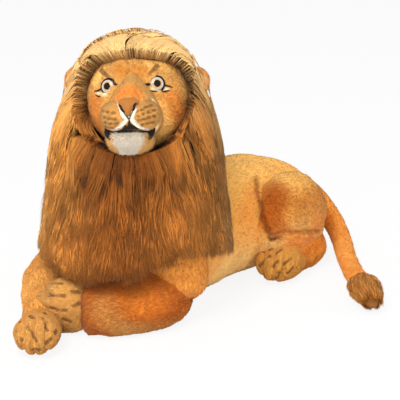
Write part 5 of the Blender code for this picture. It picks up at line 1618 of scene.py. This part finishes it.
def crown_backing():
    """The dome of the crown, drawn in by the inset, over its flat base."""
    turn = np.linspace(0, np.pi / 2, 14)
    base = CROWN_BASE + CROWN_LIFT
    radius, height = CROWN_RADIUS - BACKING_INSET, CROWN_HEIGHT - BACKING_INSET
    profile = [(0, base), (0.04, base)]
    profile += [(radius * math.cos(a), base + height * math.sin(a)) for a in turn[:-1]]
    profile += [(0, CROWN_BASE + CROWN_HEIGHT - BACKING_INSET + CROWN_LIFT)]
    return turned_grid(profile, np.array((0.0001, 0.0, 1.0)), MANE_AXIS + MANE_LEAN, 64)


def strand_mesh(paths, widths, draw):
    """Closed long hairs of three sides: a ring at each station but the last, and a tip there."""
    count, stations = paths.shape[:2]
    forward = unit(np.gradient(paths, axis=1))
    aside = unit(np.cross(forward[:, 0], unit(draw.normal(size=(count, 3)))))
    across = unit(aside[:, None] - forward * (aside[:, None] * forward).sum(axis=-1, keepdims=True))
    other = np.cross(forward, across)
    turns = 2 * np.pi * np.arange(3) / 3
    half = (widths / 2)[..., None, None]
    rings = paths[:, :, None] + (
        across[:, :, None] * np.cos(turns)[:, None] + other[:, :, None] * np.sin(turns)[:, None]
    ) * half
    body = rings[:, :-1].reshape(count, -1, 3)
    points = np.concatenate([body, paths[:, -1:]], axis=1).reshape(-1, 3)
    per_strand = 3 * (stations - 1) + 1
    faces = [(0, 2, 1)]
    for ring in range(stations - 2):
        for k in range(3):
            a, b = 3 * ring + k, 3 * ring + (k + 1) % 3
            faces += [(a, b, b + 3), (a, b + 3, a + 3)]
    top = 3 * (stations - 2)
    faces += [(top + k, top + (k + 1) % 3, per_strand - 1) for k in range(3)]
    faces = np.array(faces)[None] + per_strand * np.arange(count)[:, None, None]
    return points, faces.reshape(-1, 3)


def gather(paths, locks, pull, draw):
    """Draws each hair towards the nearest of some lock hairs, more and more towards its tip."""
    count, stations = paths.shape[:2]
    leaders = draw.choice(count, min(locks, count), replace=False)
    nearest = nearest_of(paths[:, 0], paths[leaders, 0])
    share = np.linspace(0, 1, stations) ** 1.2
    led = paths[leaders[nearest]]
    return paths + (led - paths) * (pull * share)[None, :, None], nearest


def mane_colour_and_painted_light(points):
    """Brown at the bib and gold at the sides, with painted light on the toy's right and painted shade on its
    left, painted shade under the chin, and straw on the crown with a painted highlight on top.
    """
    bearing = mane_envelope(points)[2]
    height = points[:, 2]
    bib = np.exp(-(bearing / 0.78) ** 2)[:, None]
    outer = smooth_step(0.95, 1.6, np.abs(bearing))[:, None]
    base = MANE_GOLD * (1 - outer) + MANE_EDGE_GOLD * outer
    # Painted shade: the toy's left side of the mane, away from the lamp, darker.
    base = base * (1 - 0.40 * smooth_step(0.6, 1.2, bearing)[:, None])
    # Painted light: the toy's right side paler.
    base = base * (1 + RIGHT_SIDE_PAINTED_LIGHT * smooth_step(0.25, 0.9, -bearing)[:, None])
    base = base * (1 - bib) + BIB_BROWN * bib
    # Painted shade: the bib darker under the chin.
    throat = (smooth_step(0.21, 0.29, height) * (1 - smooth_step(0.31, 0.36, height)))[:, None] * bib
    base = base * (1 - THROAT_SHADE_DARKER * throat)
    # Straw on the crown, with a painted highlight on top.
    top = smooth_step(0.31, 0.42, height)[:, None]
    base = base * (1 - top) + CROWN_STRAW_AND_HIGHLIGHT * top
    hem = (1 - smooth_step(0.0, 0.085, height - hem_height(bearing)))[:, None] * bib
    return base * (1 - HEM_DARKER * hem)


def hang(roots, face_pull, length, draw, stations=5, lift=0.0045, rise=0.0):
    """Paths of long hairs: away from the face near it, then down, on the mane's outline.

    At each step the way is (away from the face) * pull + down, laid into the outline's surface. With a
    rise, a hair first leaves the face by (away from the face) + (forwards) * rise up to the outline.
    """
    face_middle = face_points((0, -0.05, -0.002))[0]
    face_axis = -head_pose[:3, 1]
    step = length / (stations - 1)
    paths = [roots]
    place = roots
    start_level = mane_envelope(roots)[0]
    sway = draw.normal(0, 0.11, (len(roots), 1))
    rise, lift = np.broadcast_to(rise, len(roots)), np.broadcast_to(lift, len(roots))
    beside = (rise > 0.8) & (level_of(face_opening, roots)[0] < 0.004)
    for k in range(1, stations):
        share = k / (stations - 1)
        level, out, _ = mane_envelope(place)
        from_face = place - face_middle
        radial = from_face - face_axis * (from_face @ face_axis)[:, None]
        distance = np.linalg.norm(radial, axis=1)
        pull = face_pull * np.exp(-np.maximum(0, distance - 0.075) / 0.045)[:, None]
        pull = pull * smooth_step(-0.09, -0.02, from_face @ face_axis)[:, None]
        back_over = smooth_step(0.40, 0.44, place[:, 2])[:, None] * 0.6
        way = unit(radial) * pull + np.array((0, 0, -1.0)) + np.array((0.8, -0.1, 0.6)) * back_over
        way = unit(way - out * (way * out).sum(axis=1, keepdims=True))
        way = unit(way + np.cross(out, way) * (sway + soft_lumps(place, 0.18, 0.06, 7)[:, None]))
        free = (level < lift - 0.003) & (rise > 0)
        drop = 1.1 * smooth_step(0.0, 0.055, -(from_face @ head_pose[:3, 2])) * (rise < 2)
        leave = unit(radial) + face_axis * rise[:, None] - np.outer(drop, (0, 0, 1.0))
        way = np.where(free[:, None], unit(leave), way)
        place = place + way * step[:, None]
        wall, wall_out = level_of(face_opening, place)
        place = place - wall_out * (np.maximum(0, wall + 0.002) * (free & beside))[:, None]
        level, out, _ = mane_envelope(place)
        target = start_level * (1 - share) ** 1.3 + lift * share + draw.normal(0, 0.0024, len(place)) * share
        target = np.where(free, np.minimum(level, lift), np.where(rise > 0, lift, target))
        place = place + out * (target - level)[:, None]
        paths.append(place)
    return np.stack(paths, axis=1)


def keep_out(paths, forms, gap):
    """Moves points that lie in another form out of it, along its way out."""
    flat = paths.reshape(-1, 3)
    for form in forms:
        near = np.flatnonzero(np.linalg.norm(flat - form_middle(form), axis=1) < 0.22)
        if not len(near):
            continue
        level, out = level_of(form, flat[near])
        push = np.maximum(0, gap - level)
        flat[near] += out * push[:, None]
    return flat.reshape(paths.shape)


def uncovered_ears(paths, draw):
    """Which hairs to keep: those that would lie over the front of an ear are mostly cut short there."""
    front = -head_pose[:3, 1]
    kept = np.ones(len(paths), bool)
    for form in ear_forms.values():
        offset = paths - form_middle(form)
        ahead = offset @ front
        aside = np.linalg.norm(offset - ahead[..., None] * front, axis=2)
        over = ((ahead > -0.012) & (aside < 0.027)).any(axis=1)
        kept &= ~over | (draw.uniform(size=len(paths)) < 0.05)
    return kept


def form_middle(form):
    """The middle of a form in the toy's frame."""
    middle = form["centre"] if "centre" in form else form["path"].mean(axis=0)
    return placed(middle[None], form["pose"])[0]


def strands(paths, widths, draw):
    """Closed hairs along some paths, each a little thinner or thicker than the next."""
    return strand_mesh(paths, widths[None] * draw.uniform(0.7, 1.2, (len(paths), 1)), draw)


def hair_tones(locks, lock_tones, nearest, spread, draw):
    """Each hair's tone: its lock's, from a mean and a spread, and a little of its own."""
    return np.clip(draw.normal(*lock_tones, locks)[nearest] + draw.normal(0, spread, len(nearest)), 0.05, 0.95)


def fur_piece(name, hairs, backing, hair_colour, skin_colour, tone):
    """Long hairs of 13 points each and the backing that they grow from, as one piece."""
    points, faces = hairs
    skin_points, skin_faces = backing["points"], backing["faces"]
    if inside_out(skin_points, skin_faces):
        skin_faces = skin_faces[:, ::-1]
    bpy.data.objects.remove(backing["piece"])
    piece = add_mesh(
        name, np.concatenate([points, skin_points]), np.concatenate([faces, skin_faces + len(points)])
    )
    set_marks(
        piece,
        np.concatenate([np.repeat(hair_colour, len(HAIR_REACH), axis=0), skin_colour]),
        np.concatenate([np.repeat(tone, len(HAIR_REACH)), np.full(len(skin_points), 0.4)]),
        np.concatenate([np.tile(HAIR_REACH, len(tone)), np.zeros(len(skin_points))]),
    )
    piece.data.materials.append(long_fur)
    return piece


def add_room(name, form, rows, columns):
    """A form that fur is cut by, as a mesh."""
    points = grid_points(tube_grid(form, rows, columns))
    rooms[name] = add_mesh(name + "_room", points, grid_faces(rows, columns))


long_fur = fibre_material("long fur", 0.6, 0.55, 1.1, 0.15, 30, 500, sheen=0.05, bump=0.1, specular=0.15)
OPENING_LENGTH, OPENING_HALF_WIDTH, OPENING_HALF_HEIGHT = 0.21, 0.072, 0.077
OPENING_SHARES = ((0, 0, 0), (0, -0.333, 0.13), (0, -0.667, 0.26), (0, -1, 0.39))
face_opening = tube(
    held(on_head(0, -0.20, -0.16), OPENING_LENGTH, OPENING_SHARES),
    np.array((1.0, 1.75, 2.5, 3.2)) * OPENING_HALF_WIDTH,
    np.array((1.0, 1.38, 1.76, 2.15)) * OPENING_HALF_HEIGHT, (0.08, 0.08), pose=head_pose,
)
add_room("face_opening", face_opening, 40, 56)
EAR_GAP_PLACES = np.array((-0.012, 0.012, 0.036, 0.060))
for side, form in ear_forms.items():
    gap_path = form_middle(form) - head_pose[:3, 1] * EAR_GAP_PLACES[:, None]
    gap_form = tube(gap_path, np.full(4, 0.0165), np.full(4, 0.0215), (0.1, 0.1))
    add_room("ear_gap_" + HEAD_SUFFIXES[side], gap_form, 20, 32)
MANE_ROOMS = (
    "ear_gap_left", "ear_gap_right", "face_opening", "head_plush", "neck_plush", "torso_plush",
    "upper_arm_left_plush", "upper_arm_right_plush", "forearm_left_plush", "forearm_right_plush",
)
keep_clear = [
    head_form, muzzle_form, chin_form, *ear_forms.values(), *forearm_forms.values(), *paw_forms.values()
]
PANELS = {
    "bib": (-BIB_EDGE, BIB_EDGE, 0.76, 8600),
    "left": (BIB_EDGE, NAPE_EDGE, 1.0, 8000),
    "right": (-NAPE_EDGE, -BIB_EDGE, 1.0, 8000),
    "nape": (NAPE_EDGE, 2 * math.pi - NAPE_EDGE, 1.0, 6300),
    "crown": (0, 0, 0, 6600),
}
for number, (label, (first, last, top_share, count)) in enumerate(PANELS.items()):
    draw = np.random.default_rng(200 + number)
    grid = crown_backing() if label == "crown" else panel_backing(first, last, top_share)
    backing = sewn("mane_%s_backing" % label, grid, None, MANE_ROOMS)
    roots, facing = scatter(backing, count * 5, draw, floor=False)
    level, out, bearing = mane_envelope(roots)
    outer = (level > -BACKING_INSET - 0.004) & ((facing * out).sum(axis=1) > 0.1)
    at_opening = level_of(face_opening, roots)[0] < 0.0015
    towards_face = ((facing @ -head_pose[:3, 1] > 0.1) & (roots[:, 2] > 0.31)) | at_opening
    towards_face |= (facing[:, 2] > 0.5) & (label == "bib")
    rim = ~outer & (level > -0.045) & towards_face
    front_hem = 0.016 * np.exp(-(bearing / 0.85) ** 4)
    reach_down = roots[:, 2] - hem_height(bearing) - front_hem
    chosen = np.flatnonzero((outer & (reach_down > 0.034)) | rim)[:count]
    roots, rim = roots[chosen], rim[chosen]
    reach_down = reach_down[chosen] + draw.uniform(-0.014, 0.014, len(roots))
    length = np.minimum(draw.uniform(0.080, 0.130, len(roots)), np.maximum(0.028, reach_down))
    if label == "crown":
        length = draw.uniform(0.050, 0.080, len(roots))
    length = np.where(rim, length + 0.02, length)
    under = (roots - head_pose[:3, 3]) @ head_pose[:3, 2] < -0.045
    lift = 0.0045 + (soft_lumps(roots, 0.003, 0.035, 17) - 0.0075) * (label == "crown")
    paths = hang(roots, 2.2, length, draw, lift=lift, rise=np.where(under, 2.2, 0.85) * rim)
    paths, nearest = gather(paths, MANE_LOCKS, 0.5, draw)
    paths = keep_out(paths, keep_clear, 0.0015)
    kept = uncovered_ears(paths, draw)
    paths, nearest = paths[kept], nearest[kept]
    hairs = strands(paths, MANE_HAIR_WIDTHS, draw)
    tone = hair_tones(MANE_LOCKS, (0.52, 0.18), nearest, 0.16, draw)
    skin_colour = mane_colour_and_painted_light(backing["points"]) * 0.7
    panel = fur_piece(
        "mane_%s_fur" % label, hairs, backing, mane_colour_and_painted_light(paths[:, 2]), skin_colour, tone
    )
    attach(panel, "lion")
    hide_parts("mane_" + label)

# Hairline: long hair sewn into the seam round the face, which fans out of it over the rim of the mane. It
# is brown at the roots.
HAIRLINE_COUNT, HAIRLINE_LOCKS = 5600, 240
HAIRLINE_WIDTHS = np.array((0.0014, 0.0020, 0.0022, 0.0021, 0.0017, 0.0011, 0.0))
HAIRLINE_REACH = np.append(np.repeat((0.0, 0.18, 0.36, 0.54, 0.72, 0.9), 3), 1.0)
draw = np.random.default_rng(230)
turn = draw.uniform(0, 2 * np.pi, HAIRLINE_COUNT)
high = np.sin(turn) > 0
power = np.where(high, 3.0, 2.3)
grow = 1 + 0.09 * draw.uniform(0, 1, HAIRLINE_COUNT) ** 1.5
x = 0.925 * grow * np.sign(np.cos(turn)) * np.abs(np.cos(turn)) ** (2 / power)
z = np.where(high, 0.745, 1.02) * grow * np.sign(np.sin(turn)) * np.abs(np.sin(turn)) ** (2 / power)
depth = np.sqrt(np.maximum(1 - x ** 2 - z ** 2, 0.0))
ring = unit(np.column_stack([x, -np.maximum(depth, 0.10), z]))
roots = placed(head_form["halves"] * ring * ball_swell(head_form, ring)[:, None], head_pose)
length = draw.uniform(0.065, 0.110, HAIRLINE_COUNT)
height = (roots - head_pose[:3, 3]) @ head_pose[:3, 2]
above = smooth_step(0.030, 0.052, height)
rise = np.where(height < -0.030, 1.1, 1.05 - 0.2 * above) * draw.normal(1, 0.2, HAIRLINE_COUNT)
paths = hang(roots, 2.6, length, draw, stations=7, lift=0.005 - 0.006 * above, rise=rise)
paths, nearest = gather(paths, HAIRLINE_LOCKS, 0.4, draw)
paths = keep_out(paths, keep_clear, 0.0012)
kept = uncovered_ears(paths, draw)
paths, nearest, above = paths[kept], nearest[kept], above[kept]
points, faces = strands(paths, HAIRLINE_WIDTHS, draw)
tone = hair_tones(HAIRLINE_LOCKS, (0.55, 0.12), nearest, 0.13, draw)
start = (0.50 + 0.38 * above)[:, None]
brown = (start + (1 - start) * smooth_step(0.0, 0.62, HAIRLINE_REACH)[None])[..., None]
hairline = add_mesh("hairline_fur", points, faces)
set_marks(
    hairline, (mane_colour_and_painted_light(paths[:, 4])[:, None] * brown).reshape(-1, 3),
    np.repeat(tone, len(HAIRLINE_REACH)), np.tile(HAIRLINE_REACH, len(paths)),
)
hairline.data.materials.append(long_fur)
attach(hairline, "lion")

# Tail: a long thin stuffed tube of gold plush, sewn to the rump at its root, round which it swings. It
# comes down beside the left haunch and lies on the floor.
TAIL_LENGTH, TAIL_RADIUS = 0.30, 0.0190
TAIL_ROOT = on_torso(0.482, 0, 0.52)
TAIL_PLAN = (
    (-0.030, 0.045), (0, 0), (0.070, -0.09), (0.096, -0.22), (0.028, -0.36), (-0.165, -0.55), (-0.385, -0.78)
)
TAIL_RISE = (1.0, 1.0, 0.94, 0.5, 0.15, 0, 0)
tail_radii = np.array((0.88, 0.90, 0.95, 0.95, 0.90, 0.84, 0.80)) * TAIL_RADIUS
tail_path = laid(TAIL_ROOT, TAIL_LENGTH, TAIL_PLAN, tail_radii)
tail_path[:, 2] += np.array(TAIL_RISE) * (TAIL_ROOT[2] - tail_path[:, 2])
tail_form = tube(tail_path, tail_radii, tail_radii, (0.14, 0.06), rings=20)
TAIL_PILE_MARGIN = 0.004
TAIL_DABS = [
    ((0.245, -0.060, 0.075), (0.240, -0.085, 0.055), 0.006, 0.02, ORANGE, 0.6),
    ((0.20, -0.14, 0.025), (0.15, -0.19, 0.02), 0.01, 0.03, BRIGHT_GOLD, 0.6),
]
tail_dye = painted(GOLD, TAIL_DABS)
tail = sewn("tail_plush", skin_grid(tail_form, 120, 40, 111, 0.0006, 0.03, floor=True), tail_form)
tail_pile = pile_on(
    tail, 9000, 0.0055, 0.0013, flow_along(tail_form), tail_dye, 112,
    clear=[{**torso_form, "widths": torso_form["widths"] - TAIL_PILE_MARGIN}],
)
dress(tail, "tail", "tail", gold_plush, tail_dye, tail_pile)

# Tail tuft: the mane's long fur, sewn as a small bag round the end of the tail. Its hairs start on a core
# inside and reach out to the tuft's outline, paler at the outside.
TUFT_LENGTH, TUFT_HALF_WIDTH, TUFT_HALF_HEIGHT, CORE_SHARE = 0.105, 0.029, 0.022, 0.62
TUFT_PLAN = ((0.10, 0.11), (-0.17, -0.18), (-0.44, -0.46), (-0.70, -0.75))
TUFT_BROWN, TUFT_GOLD = np.array((0.45, 0.150, 0.019)), np.array((0.74, 0.35, 0.09))
TUFT_CORE_BROWN = (0.45, 0.17, 0.035)
TUFT_COUNT, TUFT_LOCKS = 4600, 120
TUFT_HAIR_WIDTHS = np.array((0.0012, 0.0016, 0.0014, 0.0010, 0.0))
tuft_shares = np.array((0.60, 1.0, 1.0, 0.72))
tuft_widths, tuft_heights = tuft_shares * TUFT_HALF_WIDTH, tuft_shares * TUFT_HALF_HEIGHT
tuft_form = tube(
    laid(tail_path[-1], TUFT_LENGTH, TUFT_PLAN, tuft_heights), tuft_widths, tuft_heights, (0.3, 0.4)
)
core_form = {
    **tuft_form, "widths": tuft_form["widths"] * CORE_SHARE, "heights": tuft_form["heights"] * CORE_SHARE
}
draw = np.random.default_rng(120)
core = sewn("tuft_core", skin_grid(core_form, 36, 40, 121, 0.0005, 0.02, floor=True), None, ("tail_plush",))
begin = draw.uniform(0.0, 0.62, TUFT_COUNT) ** 1.3
reach = draw.uniform(0.36, 0.52, TUFT_COUNT)
turn = draw.uniform(0, 2 * np.pi, TUFT_COUNT)
fullness = draw.uniform(0.3, 1.0, TUFT_COUNT) ** 0.5
paths = []
for k in range(5):
    share = begin + reach * k / 4
    bend = turn + draw.normal(0, 0.05, TUFT_COUNT)
    centre, forward, across, above, width, height, _ = tube_stations(tuft_form, np.clip(share, 0.02, 0.8))
    swell = fullness * (0.62 + 0.38 * k / 4 + draw.normal(0, 0.03, TUFT_COUNT))
    swell = swell * (1 - 0.25 * np.clip(share - 0.8, 0, 1) / 0.2)
    centre = centre + forward * (np.maximum(share - 0.8, 0) * TUFT_LENGTH)[:, None]
    sideways, upwards = width * swell * np.cos(bend), height * swell * np.sin(bend)
    paths.append(centre + across * sideways[:, None] + above * upwards[:, None])
paths, nearest = gather(np.stack(paths, axis=1), TUFT_LOCKS, 0.35, draw)
paths[..., 2] = np.maximum(paths[..., 2], 0.0012)
points, faces = strands(paths, TUFT_HAIR_WIDTHS, draw)
points[:, 2] = np.maximum(points[:, 2], 0.0003)
tone = hair_tones(TUFT_LOCKS, (0.5, 0.16), nearest, 0.18, draw)
pale = smooth_step(0.85, 1.0, fullness)[:, None] * 0.7
tuft_colour = TUFT_BROWN * (1 - pale) + TUFT_GOLD * pale
core_colour = np.tile(TUFT_CORE_BROWN, (len(core["points"]), 1))
tuft = fur_piece("tail_tuft_fur", (points, faces), core, tuft_colour, core_colour, tone)
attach(tuft, "tail")
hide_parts("tail_tuft")

# The rooms that the pieces were cut by are taken away.
for room in rooms.values():
    bpy.data.objects.remove(room)
